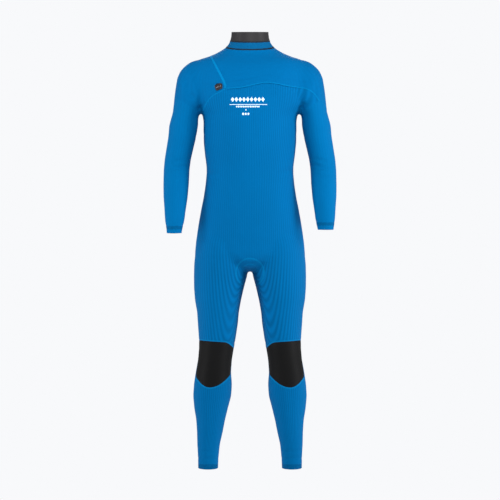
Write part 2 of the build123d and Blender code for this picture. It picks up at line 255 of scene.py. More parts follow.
def new_material(name, roughness, sheen=0.0, specular=0.3, shine=(1, 1, 1)):
    """A material with its principled shader, whose plain values are set on the shader itself."""
    material = bpy.data.materials.new(name)
    material.use_nodes = True
    shader = material.node_tree.nodes["Principled BSDF"]
    shader.inputs["Roughness"].default_value = roughness
    shader.inputs["Sheen Weight"].default_value = sheen
    shader.inputs["Sheen Roughness"].default_value = 0.4
    shader.inputs["Specular IOR Level"].default_value = specular
    shader.inputs["Specular Tint"].default_value = (*shine, 1)
    shader.inputs["Sheen Tint"].default_value = (*shine, 1)
    return material, material.node_tree, shader


def use_group(tree, group, **values):
    """Places a node group in a material, with its own values."""
    node = tree.nodes.new("ShaderNodeGroup")
    node.node_tree = group
    for name, value in values.items():
        node.inputs[name.replace("_", " ")].default_value = value
    return node


def shaded_colour(tree, shader, colour, factors, printed=None):
    """Multiplies a colour by each factor socket, lays a print on it, and feeds it to the shader."""
    factor = factors[0]
    for other in factors[1:]:
        factor = math_node(tree, "MULTIPLY", factor, other)
    scale = tree.nodes.new("ShaderNodeVectorMath")
    scale.operation = "SCALE"
    scale.inputs[0].default_value = colour[:3]
    link(tree, factor, scale.inputs["Scale"])
    if not printed:
        return link(tree, scale.outputs[0], shader.inputs["Base Color"])
    mask, ink = printed(tree)
    lay = tree.nodes.new("ShaderNodeMix")
    lay.data_type = "RGBA"
    colours = [socket for socket in lay.inputs if socket.type == "RGBA"]
    link(tree, mask, lay.inputs[0])
    link(tree, scale.outputs[0], colours[0])
    colours[1].default_value = (*ink, 1)
    mixed = next(socket for socket in lay.outputs if socket.type == "RGBA")
    link(tree, mixed, shader.inputs["Base Color"])


def bump(tree, shader, height, strength, distance):
    """Turns a height into small relief on the shader's normal."""
    node = tree.nodes.new("ShaderNodeBump")
    node.inputs["Strength"].default_value = strength
    node.inputs["Distance"].default_value = distance
    link(tree, height, node.inputs["Height"])
    link(tree, node.outputs[0], shader.inputs["Normal"])


# %% Jersey, bare rubber and woven or moulded trims


def jersey(name, colour, rib_depth=0.6, rib_pitch=0.008, clouds=0.16, printed=None):
    """Knitted jersey glued to foam rubber, with painted shade in the furrows of its ribs. Its shine takes the
    colour of the yarn.
    """
    shine = tuple(min(1.0, 2.2 * part) for part in colour)
    material, tree, shader = new_material(name, roughness=0.78, sheen=0.12, specular=0.12, shine=shine)
    ribs = use_group(tree, knit, Rib_Pitch=rib_pitch, Rib_Depth=rib_depth)
    cloth = use_group(tree, dye, Clouds=clouds, Specks=0.18)
    # Painted shade from the knit: the colour is darker in the rib furrows and lighter on the ribs.
    painted_furrow_shade = math_node(tree, "ADD", math_node(tree, "MULTIPLY", ribs.outputs["Shade"], 0.75), 1.0)
    shaded_colour(tree, shader, colour, [painted_furrow_shade, cloth.outputs["Value"]], printed)
    bump(tree, shader, ribs.outputs["Height"], 0.5, 0.0006)
    return material


def rubber(name, colour, roughness, grain=260.0, grain_depth=0.00025, specular=0.3):
    """Bare or printed foam rubber: a fine leathery grain and an uneven gloss."""
    material, tree, shader = new_material(name, roughness, 0.0, specular)
    place = tree.nodes.new("ShaderNodeTexCoord")
    pores = noise(tree, place.outputs["Object"], grain, 4.0)
    broad = noise(tree, place.outputs["Object"], 14.0, 2.0)
    cloth = use_group(tree, dye, Clouds=0.5, Specks=0.4)
    shaded_colour(tree, shader, colour, [cloth.outputs["Value"]])
    uneven = 0.16                         # how far the roughness spreads about its mean
    gloss = math_node(tree, "ADD", math_node(tree, "MULTIPLY", broad, uneven), roughness - uneven / 2)
    link(tree, gloss, shader.inputs["Roughness"])
    bump(tree, shader, pores, 0.6, grain_depth)
    return material


def woven(name, colour):
    """Woven tape or binding: a fine plain weave."""
    pitch = 0.0012
    material, tree, shader = new_material(name, roughness=0.7, sheen=0.05, specular=0.15)
    weave = use_group(tree, knit, Rib_Pitch=2 * pitch, Rib_Depth=0.4, Loop_Pitch=pitch)
    cloth = use_group(tree, dye, Clouds=0.1, Specks=0.3)
    shaded_colour(tree, shader, colour, [cloth.outputs["Value"]])
    bump(tree, shader, weave.outputs["Height"], 0.6, 0.0003)
    return material


# %% [markdown]
# Ink is printed on the jersey: a plain row of diamonds, a thin line and smaller marks on the
# chest, and short dark strokes round the hems. The marks are masks worked out from the place on
# the suit, so they stay sharp at any distance.

# %% Printed marks


def diamonds_group():
    """A mask of diamonds in a row across the chest, or of one long bar where the pitch is long."""
    places = [("Left", 0.0), ("Right", 0.0), ("Level", 0.0), ("Half Height", 0.0), ("Pitch", 1.0)]
    tree, start, end = group_with("diamonds", places, ["Mask"])
    place = tree.nodes.new("ShaderNodeTexCoord")
    split = tree.nodes.new("ShaderNodeSeparateXYZ")
    link(tree, place.outputs["Object"], split.inputs[0])
    x, y, z = (split.outputs[axis] for axis in "XYZ")
    values = start.outputs
    steps = math_node(tree, "DIVIDE", math_node(tree, "SUBTRACT", x, values["Left"]), values["Pitch"])
    part = math_node(tree, "FRACT", steps)
    off_middle = math_node(tree, "ABSOLUTE", math_node(tree, "SUBTRACT", part, 0.5))
    rise = math_node(tree, "ABSOLUTE", math_node(tree, "SUBTRACT", z, values["Level"]))
    tall = math_node(tree, "DIVIDE", rise, values["Half Height"])
    repeats = math_node(tree, "LESS_THAN", values["Pitch"], 0.5)
    wide = math_node(tree, "MULTIPLY", math_node(tree, "MULTIPLY", off_middle, 2.0), repeats)
    shape = math_node(tree, "ADD", wide, tall)
    mask = math_node(tree, "LESS_THAN", shape, 0.92)
    for test in (math_node(tree, "GREATER_THAN", x, values["Left"]),
                 math_node(tree, "LESS_THAN", x, values["Right"]),
                 math_node(tree, "LESS_THAN", y, 0.0)):
        mask = math_node(tree, "MULTIPLY", mask, test)
    link(tree, mask, end.inputs["Mask"])
    return tree


def ticks_group():
    """A mask of short upright strokes round a hem, between two heights."""
    tree, start, end = group_with("ticks", [("Low", 0.0), ("High", 0.0), ("Pitch", 0.0052)], ["Mask"])
    uv = tree.nodes.new("ShaderNodeUVMap")
    uv.uv_map = "suit"
    split = tree.nodes.new("ShaderNodeSeparateXYZ")
    link(tree, uv.outputs[0], split.inputs[0])
    part = math_node(tree, "FRACT", math_node(tree, "DIVIDE", split.outputs["X"], start.outputs["Pitch"]))
    stroke, raggedness, strength = 0.36, 0.008, 0.95  # a share of the pitch, metres, and the ink's cover
    mask = math_node(tree, "LESS_THAN", part, stroke)
    spread = math_node(tree, "SUBTRACT", noise(tree, uv.outputs[0], 160.0), 0.5)
    ragged = math_node(tree, "MULTIPLY", spread, raggedness)
    level_here = math_node(tree, "ADD", split.outputs["Y"], ragged)
    for test, edge in (("GREATER_THAN", "Low"), ("LESS_THAN", "High")):
        mask = math_node(tree, "MULTIPLY", mask, math_node(tree, test, level_here, start.outputs[edge]))
    link(tree, math_node(tree, "MULTIPLY", mask, strength), end.inputs["Mask"])
    return tree


diamonds, ticks = diamonds_group(), ticks_group()
white_ink, dark_ink = (0.60, 0.74, 0.84), (0.001, 0.020, 0.055)
no_repeat = 1.0                         # a pitch this long gives one bar
chest_marks = [  # left, right, height above the hem, half height, pitch
    (-0.0620, 0.0478, 1.2015, 0.0085, 0.0122), (-0.0660, 0.0550, 1.1851, 0.0010, no_repeat),
    (-0.0455, 0.0315, 1.1785, 0.0040, 0.0055), (-0.0155, -0.0105, 1.1678, 0.0030, 0.0050),
    (-0.0265, -0.0010, 1.1548, 0.0050, 0.0085),
]


def chest_print(tree):
    """The mask and ink of the chest's marks."""
    total = None
    for left, right, height, half_height, pitch in chest_marks:
        mark = use_group(tree, diamonds, Left=left, Right=right, Level=height - suit_height,
                         Half_Height=half_height, Pitch=pitch)
        mask = mark.outputs["Mask"]
        total = math_node(tree, "MAXIMUM", total, mask) if total else mask
    return total, white_ink


def hem_ticks(low, high):
    """The print of a hem, between two heights."""
    def printed(tree):
        return use_group(tree, ticks, Low=low, High=high).outputs["Mask"], dark_ink
    return printed


# %% [markdown]
# One dye is used for the whole suit. The panels share one blue or sit close to it: the sleeves
# and wrists a little lighter, the legs slightly darker and the collar darker. They differ mostly in
# how deep their ribs are, and with them the painted shade in the furrows: nearly flat on the
# shoulders and sleeves, deep on the thighs.

# %% Colours
blue, wrist_blue = (0.0003, 0.098, 0.268), (0.0003, 0.101, 0.272)
left_print, right_print, ankle_print = (0.795, 0.806), (0.783, 0.794), (0.004, 0.022)  # heights
materials = {
    "chest": jersey("blue_jersey", blue, rib_depth=0.6, printed=chest_print),
    "shoulder": jersey("shoulder_jersey", blue, rib_depth=0.12),
    "body": jersey("body_jersey", blue, rib_depth=0.7),
    "sleeve": jersey("sleeve_jersey", (0.0003, 0.104, 0.278), rib_depth=0.16),
    "left_wrist": jersey("left_wrist_jersey", wrist_blue, rib_depth=0.3, printed=hem_ticks(*left_print)),
    "right_wrist": jersey("right_wrist_jersey", wrist_blue, rib_depth=0.3, printed=hem_ticks(*right_print)),
    "ankle": jersey("ankle_jersey", blue, rib_depth=0.5, printed=hem_ticks(*ankle_print)),
    "leg": jersey("leg_jersey", (0.0003, 0.097, 0.265), rib_depth=0.75),
    "collar": jersey("collar_jersey", (0.002, 0.080, 0.205), rib_depth=0.2),
    "lining": jersey("lining_jersey", (0.012, 0.013, 0.016), rib_depth=0.9, rib_pitch=0.005),
    "seal": rubber("smooth_skin", (0.018, 0.0172, 0.018), 0.5, specular=0.16),
    "knee": rubber("knee_rubber", (0.0046, 0.0046, 0.0048), 0.6, 500.0, 0.0002, 0.07),
    "trim": woven("bound_edge", (0.002, 0.009, 0.020)),
    "tape": jersey("seam_tape", (0.0006, 0.150, 0.365), rib_depth=0.1, clouds=0.1),
    "seam": jersey("seam_line", (0.0005, 0.130, 0.325), rib_depth=0.1, clouds=0.1),
    "zip_cloth": woven("zip_cloth", (0.012, 0.012, 0.014)),
    "zip_plastic": rubber("zip_plastic", (0.015, 0.015, 0.017), 0.35, 700.0, 0.0001),
    "slider": rubber("slider_enamel", (0.02, 0.02, 0.022), 0.3, 900.0, 0.00005),
    "pull": rubber("pull_rubber", (0.014, 0.012, 0.016), 0.45, 600.0, 0.0001),
    "pull_dots": rubber("pull_dots", (0.35, 0.33, 0.36), 0.4, 600.0, 0.00005),
}

# %% The floor glows as the backdrop does, so no horizon shows
floor_material, _, floor_shader = new_material("floor_white", roughness=0.9, specular=0.0)
floor_shader.inputs["Base Color"].default_value = (0, 0, 0, 1)
floor_shader.inputs["Emission Color"].default_value = pale
floor_shader.inputs["Emission Strength"].default_value = backdrop_strength
floor.data.materials.append(floor_material)

# %% [markdown]
# A suit that is worn has the shape of the body in it, because the foam is stretched all over. A
# cloth simulation over a dummy would give the same shape slowly, so it is modelled directly. It
# starts as rings: a circle is extruded ring by ring, and every new ring is set to a limb's girth
# at that height. The closed tubes overlap at the shoulders and the crotch.

# %% Ring tubes
ring_points = 72


def deselect():
    """Leaves edit mode and clears the selection."""
    if bpy.context.object and bpy.context.object.mode != "OBJECT":
        bpy.ops.object.mode_set(mode="OBJECT")
    bpy.ops.object.select_all(action="DESELECT")


def activate(obj):
    """Selects one object alone and makes it the active one."""
    deselect()
    obj.select_set(True)
    bpy.context.view_layer.objects.active = obj


def ring_tube(name, rings):
    """A closed tube. A ring is (middle, wide, deep): its middle and two half axes, as vectors."""
    deselect()
    bpy.ops.mesh.primitive_circle_add(vertices=ring_points, radius=1.0)
    tube = bpy.context.object
    tube.name = name
    bpy.ops.object.mode_set(mode="EDIT")
    mesh = bmesh.from_edit_mesh(tube.data)
    turn = mesh.verts.layers.float.new("turn")
    for vert in mesh.verts:
        vert[turn] = math.atan2(vert.co.y, vert.co.x)
    bpy.ops.mesh.edge_face_add()
    for number, (middle, wide, deep) in enumerate(rings):
        if number:
            bpy.ops.mesh.extrude_region_move()
        mesh = bmesh.from_edit_mesh(tube.data)
        turn = mesh.verts.layers.float["turn"]
        for vert in mesh.verts:
            if vert.select:
                vert.co = middle + wide * math.cos(vert[turn]) + deep * math.sin(vert[turn])
        bmesh.update_edit_mesh(tube.data)
    bpy.ops.mesh.select_all(action="SELECT")
    bpy.ops.mesh.normals_make_consistent(inside=False)
    bpy.ops.object.mode_set(mode="OBJECT")
    return tube


def level(height):
    """The z of a height above the ankle hem."""
    return height - suit_height


def level_ring(side, height, centre, half_width, half_depth, back=0.0):
    """A ring that lies level, at a distance to one side and a shift to the back."""
    middle = Vector((side * centre, back, level(height)))
    return middle, Vector((side * half_width, 0, 0)), Vector((0, half_depth, 0))


# %% [markdown]
# The trunk's rings give the hips, the waist and the chest, from below. The first ones start from a
# rounded floor between the legs, and the last ones close in over the shoulders to the neck.

# %% The trunk
trunk_rings = [  # height, half width, half depth, shift to the back, in metres
    (0.647, 0.060, 0.026, 0.004), (0.652, 0.120, 0.052, 0.005), (0.664, 0.160, 0.080, 0.006),
    (0.682, 0.1775, 0.099, 0.007), (0.706, 0.179, 0.109, 0.009), (0.740, 0.176, 0.1125, 0.009),
    (0.769, 0.172, 0.113, 0.008), (0.808, 0.166, 0.110, 0.006), (0.847, 0.159, 0.106, 0.003),
    (0.886, 0.151, 0.102, 0.001), (0.925, 0.145, 0.099, 0), (0.964, 0.141, 0.097, 0),
    (0.990, 0.1415, 0.098, 0), (1.022, 0.146, 0.101, 0), (1.061, 0.150, 0.106, 0),
    (1.100, 0.1515, 0.110, 0), (1.135, 0.1510, 0.1125, 0), (1.155, 0.1545, 0.113, 0),
    (1.170, 0.164, 0.113, 0), (1.188, 0.178, 0.1125, 0), (1.215, 0.194, 0.112, 0), (1.245, 0.200, 0.112, 0),
    (1.275, 0.200, 0.111, 0), (1.298, 0.196, 0.106, 0.002), (1.316, 0.188, 0.098, 0.003),
    (1.329, 0.178, 0.090, 0.005), (1.337, 0.161, 0.084, 0.006), (1.344, 0.138, 0.079, 0.007),
    (1.350, 0.123, 0.075, 0.007), (1.355, 0.111, 0.072, 0.007), (1.361, 0.100, 0.070, 0.006),
    (1.368, 0.088, 0.0675, 0.006), (1.374, 0.080, 0.066, 0.005), (1.380, 0.0745, 0.0645, 0.004),
    (1.386, 0.069, 0.063, 0.003), (1.393, 0.0655, 0.0625, 0.002), (1.406, 0.062, 0.061, 0.001),
    (1.425, 0.060, 0.0595, 0), (1.445, 0.060, 0.0595, 0),
]
rings = [level_ring(1, height, 0, wide, deep, back) for height, wide, deep, back in trunk_rings]
tubes = [ring_tube("trunk", rings)]

# %% [markdown]
# A leg's rings start inside the hips, so that the two join with no step, and widen again at the
# calf, behind the shin.

# %% The legs
leg_rings = [  # height, centre, half width, half depth, shift to the back
    (0.790, 0.080, 0.074, 0.086, 0.008), (0.740, 0.088, 0.083, 0.100, 0.009),
    (0.705, 0.0915, 0.0865, 0.102, 0.009), (0.671, 0.0935, 0.088, 0.100, 0.009),
    (0.632, 0.096, 0.0865, 0.096, 0.008), (0.593, 0.101, 0.081, 0.091, 0.006),
    (0.554, 0.104, 0.075, 0.086, 0.004), (0.515, 0.104, 0.068, 0.080, 0.002),
    (0.476, 0.1045, 0.065, 0.074, 0), (0.437, 0.106, 0.0605, 0.068, -0.002),
    (0.398, 0.109, 0.057, 0.063, -0.003), (0.359, 0.114, 0.0555, 0.060, -0.001),
    (0.320, 0.119, 0.0575, 0.059, 0.004), (0.281, 0.1205, 0.062, 0.060, 0.010),
    (0.242, 0.123, 0.062, 0.060, 0.013), (0.203, 0.1265, 0.055, 0.056, 0.012),
    (0.164, 0.128, 0.047, 0.050, 0.009), (0.125, 0.1305, 0.042, 0.043, 0.005),
    (0.086, 0.1345, 0.037, 0.038, 0.002), (0.047, 0.1355, 0.034, 0.034, 0),
    (0.020, 0.136, 0.033, 0.033, 0), (-0.020, 0.136, 0.032, 0.032, 0),
]
for side_name, side in sides:
    tubes.append(ring_tube(f"{side_name}_leg", [level_ring(side, *ring) for ring in leg_rings]))

# %% [markdown]
# A sleeve turns from the level shoulder to the hanging arm, so its first rings fan out from a
# point just under the armpit. The forearm's rings stand square to its own line, which leans
# forward as a relaxed arm does.

# %% The sleeves
fan_point = (0.158, 1.137)            # x and height
fan_rings = [  # tilt from upright in degrees, inner reach, outer reach, half depth
    (-14, 0.034, 0.172, 0.054), (-5, 0.026, 0.188, 0.061), (4.5, 0.023, 0.1975, 0.066),
    (10.5, 0.022, 0.1940, 0.0665), (16.3, 0.021, 0.1880, 0.067), (23, 0.019, 0.1745, 0.066),
    (29.5, 0.0175, 0.159, 0.064), (39, 0.015, 0.1335, 0.061), (49, 0.013, 0.116, 0.059),
    (61, 0.0115, 0.103, 0.057), (75, 0.0105, 0.0965, 0.055),
]
arm_rings = [(1.122, 0.2155, 0.047, 0.053), (1.085, 0.220, 0.0455, 0.051), (1.045, 0.228, 0.044, 0.049),
             (1.012, 0.2345, 0.0428, 0.0475)]
elbow, wrist = Vector((0.238, 0.0, level(0.985))), Vector((0.245, -0.070, level(0.772)))
forearm_length = (wrist - elbow).length
forearm_rings = [  # distance from the elbow, half width, half depth
    (0.004, 0.042, 0.0462), (0.035, 0.0418, 0.045), (0.065, 0.0412, 0.0435), (0.104, 0.0392, 0.040),
    (0.145, 0.0348, 0.036), (0.182, 0.0315, 0.032), (0.200, 0.0282, 0.0285), (0.214, 0.0255, 0.0257),
    (forearm_length, 0.0245, 0.0245), (forearm_length + 0.02, 0.0245, 0.0245),
]


def mirrored(vector, side):
    """A place on the left arm, or the same place on the right arm."""
    return Vector((side * vector.x, vector.y, vector.z))


def fan_ring(side, tilt, near, far, half_depth):
    """A ring that stands on the fan's point like a spoke, tilted from upright."""
    angle = math.radians(tilt)
    along = Vector((side * math.sin(angle), 0, math.cos(angle)))
    start = Vector((side * fan_point[0], 0, level(fan_point[1])))
    return start + along * (near + far) / 2, along * (far - near) / 2, Vector((0, half_depth, 0))


def forearm_ring(side, distance, half_width, half_depth):
    """A ring square to the forearm's line."""
    line = mirrored((wrist - elbow).normalized(), side)
    deep = line.cross(Vector((side, 0, 0))).normalized()
    if deep.y < 0:
        deep = -deep
    wide = deep.cross(line).normalized()
    if wide.x * side < 0:
        wide = -wide
    return mirrored(elbow, side) + line * distance, wide * half_width, deep * half_depth


for side_name, side in sides:
    rings = [fan_ring(side, *ring) for ring in fan_rings]
    rings += [level_ring(side, *ring) for ring in arm_rings]
    rings += [forearm_ring(side, *ring) for ring in forearm_rings]
    tubes.append(ring_tube(f"{side_name}_arm", rings))

# %% [markdown]
# Joining the tubes and remeshing them by voxels makes one even skin, as when the panels are glued
# over a wearer. Smoothing it then rounds the armpits and the crotch.

# %% One skin
voxel, skin_rounds = 0.0042, 14

deselect()
for tube in tubes:
    tube.select_set(True)
bpy.context.view_layer.objects.active = tubes[0]
bpy.ops.object.join()
skin = bpy.context.object
skin.name = "skin"
skin.data.remesh_voxel_size = voxel
bpy.ops.object.voxel_remesh()
smooth = skin.modifiers.new("round", "SMOOTH")
smooth.factor, smooth.iterations = 0.5, skin_rounds
bpy.ops.object.modifier_apply(modifier=smooth.name)
print("skin", len(skin.data.vertices), "vertices")


def points_of(obj):
    """An object's vertices, with the height above the hem in place of z."""
    co = np.empty(len(obj.data.vertices) * 3)
    obj.data.vertices.foreach_get("co", co)
    co = co.reshape(-1, 3)
    co[:, 2] += suit_height
    return co


def set_points(obj, points):
    """Moves an object's vertices to points with the height above the hem in place of z."""
    co = points.copy()
    co[:, 2] -= suit_height
    obj.data.vertices.foreach_set("co", co.ravel())
    obj.data.update()


def normals_of(obj):
    """An object's vertex normals."""
    normals = np.empty(len(obj.data.vertices) * 3)
    obj.data.vertices.foreach_get("normal", normals)
    return normals.reshape(-1, 3)


# %% [markdown]
# Where the sleeve's tube meets the chest the step between them is still too sharp. A second
# smoothing, weighted to the fronts and backs of the shoulders, eases it and leaves the rest.

# %% Ease the shoulders


def smooth_step(values, start, end):
    """Nought before start and one after end, with an even rise between them."""
    t = np.clip((values - start) / (end - start), 0, 1)
    return t * t * (3 - 2 * t)


p = points_of(skin)
reach = np.abs(p[:, 0])
weight = smooth_step(p[:, 2], 1.175, 1.21) * smooth_step(reach, 0.10, 0.14)
weight *= (1 - smooth_step(p[:, 2], 1.315, 1.335)) * (1 - smooth_step(reach, 0.205, 0.23))
weight_steps, ease_rounds = 10, 90
group = skin.vertex_groups.new(name="shoulders")
for share in range(1, weight_steps + 1):
    members = np.nonzero(np.round(weight * weight_steps) == share)[0].tolist()
    group.add(members, share / weight_steps, "REPLACE")
ease = skin.modifiers.new("ease", "SMOOTH")
ease.factor, ease.iterations, ease.vertex_group = 0.5, ease_rounds, group.name
activate(skin)
bpy.ops.object.modifier_apply(modifier=ease.name)
skin.vertex_groups.clear()

# %% [markdown]
# A seam is a line drawn on the skin. Each is given as a function that is nought on the seam and
# tells roughly how far, in metres, a point is to one side of it. The same function cuts the
# panels, presses the groove of the stitching and lays a tape on it.

# %% Where the joints bend and the parts of the suit end
hem_cuff, ankle_cuff = 0.026, 0.040     # heights of the turned cuffs at the wrist and the ankle
# Each bend has a start (x and height, or a height), a way (x and z) and a run in metres.
shoulder_start, shoulder_way, shoulder_run = (0.162, 1.163), (0.5, -0.866), 0.108
hip_start, hip_way, hip_run = 0.637, (0.64, -0.768), 0.17
elbow_split = 1.050                     # the seam round the arm above the elbow
elbow_zone, knee_zone = (1.045, 0.925), (0.4175, 0.2825)
elbow_out, knee_out = 0.238, 0.1145     # how far out the elbow and the knee are
arm_top, arm_bottom, leg_top = 1.30, 0.70, 0.83
gusset_top, chest_floor, collar_floor, head_floor = 0.72, 1.13, 1.34, 1.33
armpit_floor, knee_roof, raglan_foot = 1.05, 0.46, 1.15
crotch_ring_gap = 0.017                 # from the crotch insert's edge to its inner line

# %% Where the seams run


def arm_divider(p):
    """Above nought outside the upright gap between the trunk and the arm."""
    return np.abs(p[:, 0]) - 0.162 - 0.05 * (1.165 - p[:, 2])


def shoulder_bend(p):
    """Distance past the plane where the sleeve starts to bend, down from the armpit."""
    out, rise = np.abs(p[:, 0]) - shoulder_start[0], p[:, 2] - shoulder_start[1]
    return out * shoulder_way[0] + rise * shoulder_way[1]


def hip_bend(p):
    """Distance past the plane where the leg starts to bend, from the crotch up to the hip."""
    return np.abs(p[:, 0]) * hip_way[0] + (p[:, 2] - hip_start) * hip_way[1]


def dipped(p, height, dip):
    """Above nought over a line round the neck that is level behind and dips in front."""
    return p[:, 2] - height - dip * np.minimum(p[:, 1], 0) - 0.04 * np.maximum(p[:, 1], 0)


def collar_low(p):
    """The seam between the yoke and the collar."""
    return dipped(p, 1.3770, 0.20)


def collar_high(p):
    """The seam between the collar and the bare neck seal."""
    return dipped(p, 1.3965, 0.13)


def neck_top(p):
    """The neck seal's free edge."""
    return dipped(p, suit_height, 0.05)


def wrist_end(p):
    """Above nought up the arm from the sleeve's hem, which is level; the left arm is held higher."""
    return p[:, 2] - np.where(p[:, 0] > 0, 0.782, 0.771)


def ankle_end(p):
    """Above nought up the leg from its hem, which is cut a little higher in front."""
    return p[:, 2] - 0.009 - 0.13 * np.minimum(p[:, 1], 0)


raglan = np.array([  # height and x of the seam from the wearer's right armpit over the shoulder
    (1.153, -0.160), (1.167, -0.152), (1.183, -0.146), (1.196, -0.138), (1.209, -0.128), (1.219, -0.113),
    (1.228, -0.094), (1.238, -0.077), (1.258, -0.083), (1.288, -0.098), (1.323, -0.1165), (1.345, -0.127),
])
flap_line = np.array([  # x and height of the flap's edge, from its corner over the left sleeve
    (-0.077, 1.2375), (-0.055, 1.2380), (-0.037, 1.2395), (-0.018, 1.2420), (0.000, 1.2460), (0.021, 1.2515),
    (0.040, 1.2555), (0.055, 1.2570), (0.075, 1.2553), (0.096, 1.2510), (0.125, 1.2455), (0.150, 1.2430),
    (0.184, 1.2380), (0.203, 1.2270), (0.219, 1.2080), (0.232, 1.1850), (0.239, 1.1660),
])


def curve_through(table, values, rounding=0.009):
    """A smooth curve through a few points: straight runs, rounded over by averaging."""
    reach = np.linspace(-rounding, rounding, 7)
    return np.mean([np.interp(values + shift, table[:, 0], table[:, 1]) for shift in reach], axis=0)


def raglan_seam(p):
    """Above nought on the wearer's right of the diagonal shoulder seam."""
    x = curve_through(raglan, p[:, 2], 0.005)
    slope = (curve_through(raglan, p[:, 2] + 0.004, 0.005) - x) / 0.004
    return (x - p[:, 0]) / np.sqrt(1 + slope**2)


def flap_seam(p):
    """Above nought over the line of the chest flap."""
    height = curve_through(flap_line, p[:, 0])
    slope = (curve_through(flap_line, p[:, 0] + 0.004) - height) / 0.004
    return (p[:, 2] - height) / np.sqrt(1 + slope**2)


def side_seam(p):
    """Above nought behind the seam down the side and over the shoulder."""
    return p[:, 1] - 0.012


def crotch_ring(p):
    """Above nought inside the round crotch insert."""
    return 0.0455 - np.hypot(p[:, 0], p[:, 2] - 0.6435)


def knee_line(p):
    """Above nought over the seam round the top of the knee."""
    return p[:, 2] - 0.4205 - 0.07 * (np.abs(p[:, 0]) - 0.115)


def soft_least(first, second, radius):
    """The lesser of two distances, with the corner between them rounded to a radius."""
    blend = np.clip(0.5 + 0.5 * (second - first) / radius, 0, 1)
    return second * (1 - blend) + first * blend - radius * blend * (1 - blend)


def knee_pad_edge(p):
    """Above nought inside the black pad on the front of the knee."""
    x = np.abs(p[:, 0])
    shin = 0.131
    sag = np.where(x > shin, 17.0, 8.9) * (x - shin) ** 2
    slope = np.where(x > shin, 34.0, 17.8) * (x - shin)
    bottom = (p[:, 2] - 0.2715 - sag) / np.sqrt(1 + slope**2)
    inner = 0.7 * (x - 0.0555) + 0.71 * (0.4005 - p[:, 2])
    top = soft_least(-knee_line(p), inner, 0.008)
    edge = soft_least(top, bottom, 0.012)
    return soft_least(edge, -0.002 - p[:, 1] + np.maximum(0, 0.30 - p[:, 2]) * 0.3, 0.015)


def underarm_seam(p):
    """Above nought inside the gusset below the armpit."""
    away = np.sqrt(((np.abs(p[:, 0]) - 0.166) / 0.030) ** 2 + (p[:, 1] / 0.052) ** 2
                   + ((p[:, 2] - 1.145) / 0.062) ** 2)
    return (1 - away) * 0.035


def calf_seam(p):
    """Nought on the seam down the inner calf, above nought on its inner side."""
    x = np.interp(p[:, 2], (0.115, 0.141, 0.184, 0.225, 0.262), (0.103, 0.101, 0.091, 0.079, 0.064))
    return (x - np.abs(p[:, 0])) * 0.95


def is_arm(p):
    """Which points are on a sleeve."""
    return (arm_divider(p) > 0) & (p[:, 2] < arm_top) & (p[:, 2] > arm_bottom)


def is_leg(p):
    """Which points are on a leg."""
    return (hip_bend(p) > 0) & (p[:, 2] < leg_top) & (arm_divider(p) < 0.02)


# %% [markdown]
# Neoprene doesn't drape, but it rolls into soft folds where a joint closes. Each fold is a short
# line across the skin: the points near it are pressed in along their normals, and the points
# beside it are raised a little.

# %% Soft folds and seam grooves
folds = [  # x and height of both ends, width, depth, and which face it is on (-1 is the front)
    (0.163, 1.172, 0.172, 1.226, 0.0075, 0.0042, -1), (0.166, 1.170, 0.189, 1.205, 0.006, 0.0025, -1),
    (0.160, 1.180, 0.150, 1.235, 0.009, 0.0022, -1),
    (-0.162, 1.172, -0.158, 1.226, 0.0075, 0.0045, -1), (-0.164, 1.170, -0.150, 1.190, 0.006, 0.003, -1),
    (-0.213, 1.280, -0.189, 1.214, 0.010, 0.0030, -1), (-0.176, 1.205, -0.205, 1.222, 0.008, 0.0018, -1),
    (0.222, 1.262, 0.204, 1.214, 0.010, 0.0016, -1),
    (0.163, 1.172, 0.176, 1.230, 0.008, 0.004, 1), (-0.163, 1.172, -0.176, 1.230, 0.008, 0.004, 1),
    (0.205, 0.992, 0.262, 0.978, 0.006, 0.0022, -1), (-0.205, 0.986, -0.262, 0.979, 0.006, 0.0022, -1),
    (0.212, 1.012, 0.250, 1.001, 0.006, 0.0014, -1), (-0.212, 1.010, -0.250, 1.003, 0.006, 0.0014, -1),
    (0.218, 0.956, 0.268, 0.965, 0.007, 0.0013, -1), (-0.216, 0.955, -0.270, 0.961, 0.007, 0.0013, -1),
    (0.070, 0.352, 0.156, 0.346, 0.008, 0.0032, 1), (-0.070, 0.350, -0.156, 0.348, 0.008, 0.0032, 1),
    (0.078, 0.331, 0.160, 0.326, 0.007, 0.0020, 1), (-0.076, 0.329, -0.160, 0.327, 0.007, 0.0020, 1),
    (0.062, 0.374, 0.140, 0.371, 0.007, 0.0016, 1), (-0.062, 0.373, -0.140, 0.371, 0.007, 0.0016, 1),
    (0.016, 0.662, 0.060, 0.694, 0.010, 0.0018, -1), (-0.016, 0.662, -0.062, 0.692, 0.010, 0.0018, -1),
    (0.014, 0.640, 0.120, 0.652, 0.012, 0.0040, 1), (-0.014, 0.640, -0.120, 0.652, 0.012, 0.0040, 1),
    (0.000, 0.655, 0.000, 0.790, 0.014, 0.0050, 1),
    (0.092, 0.962, 0.140, 0.975, 0.010, 0.0012, -1), (-0.095, 0.955, -0.140, 0.968, 0.010, 0.0012, -1),
    (0.110, 0.060, 0.160, 0.066, 0.006, 0.0010, -1), (-0.112, 0.064, -0.160, 0.060, 0.006, 0.0010, -1),
]


def fold_depth(p, normals, fold):
    """How far a fold presses each point in."""
    x1, h1, x2, h2, width, depth, face = fold
    start, run = np.array((x1, h1)), np.array((x2 - x1, h2 - h1))
    flat = p[:, (0, 2)] - start
    t = np.clip(flat @ run / (run @ run), 0, 1)
    away = np.linalg.norm(flat - np.outer(t, run), axis=1) / width
    facing = np.clip(normals[:, 1] * face * 2.5, 0, 1)
    taper = np.sin(np.pi * np.clip(t * 0.8 + 0.1, 0, 1))
    profile = np.exp(-away**2) - 0.45 * np.exp(-((away - 1.9) ** 2) / 0.8)
    return depth * facing * taper * profile


def groove(distance, where, depth=0.0007, width=0.0042):
    """How far a line of stitching presses each point in."""
    return depth * np.exp(-((distance / width) ** 2)) * where


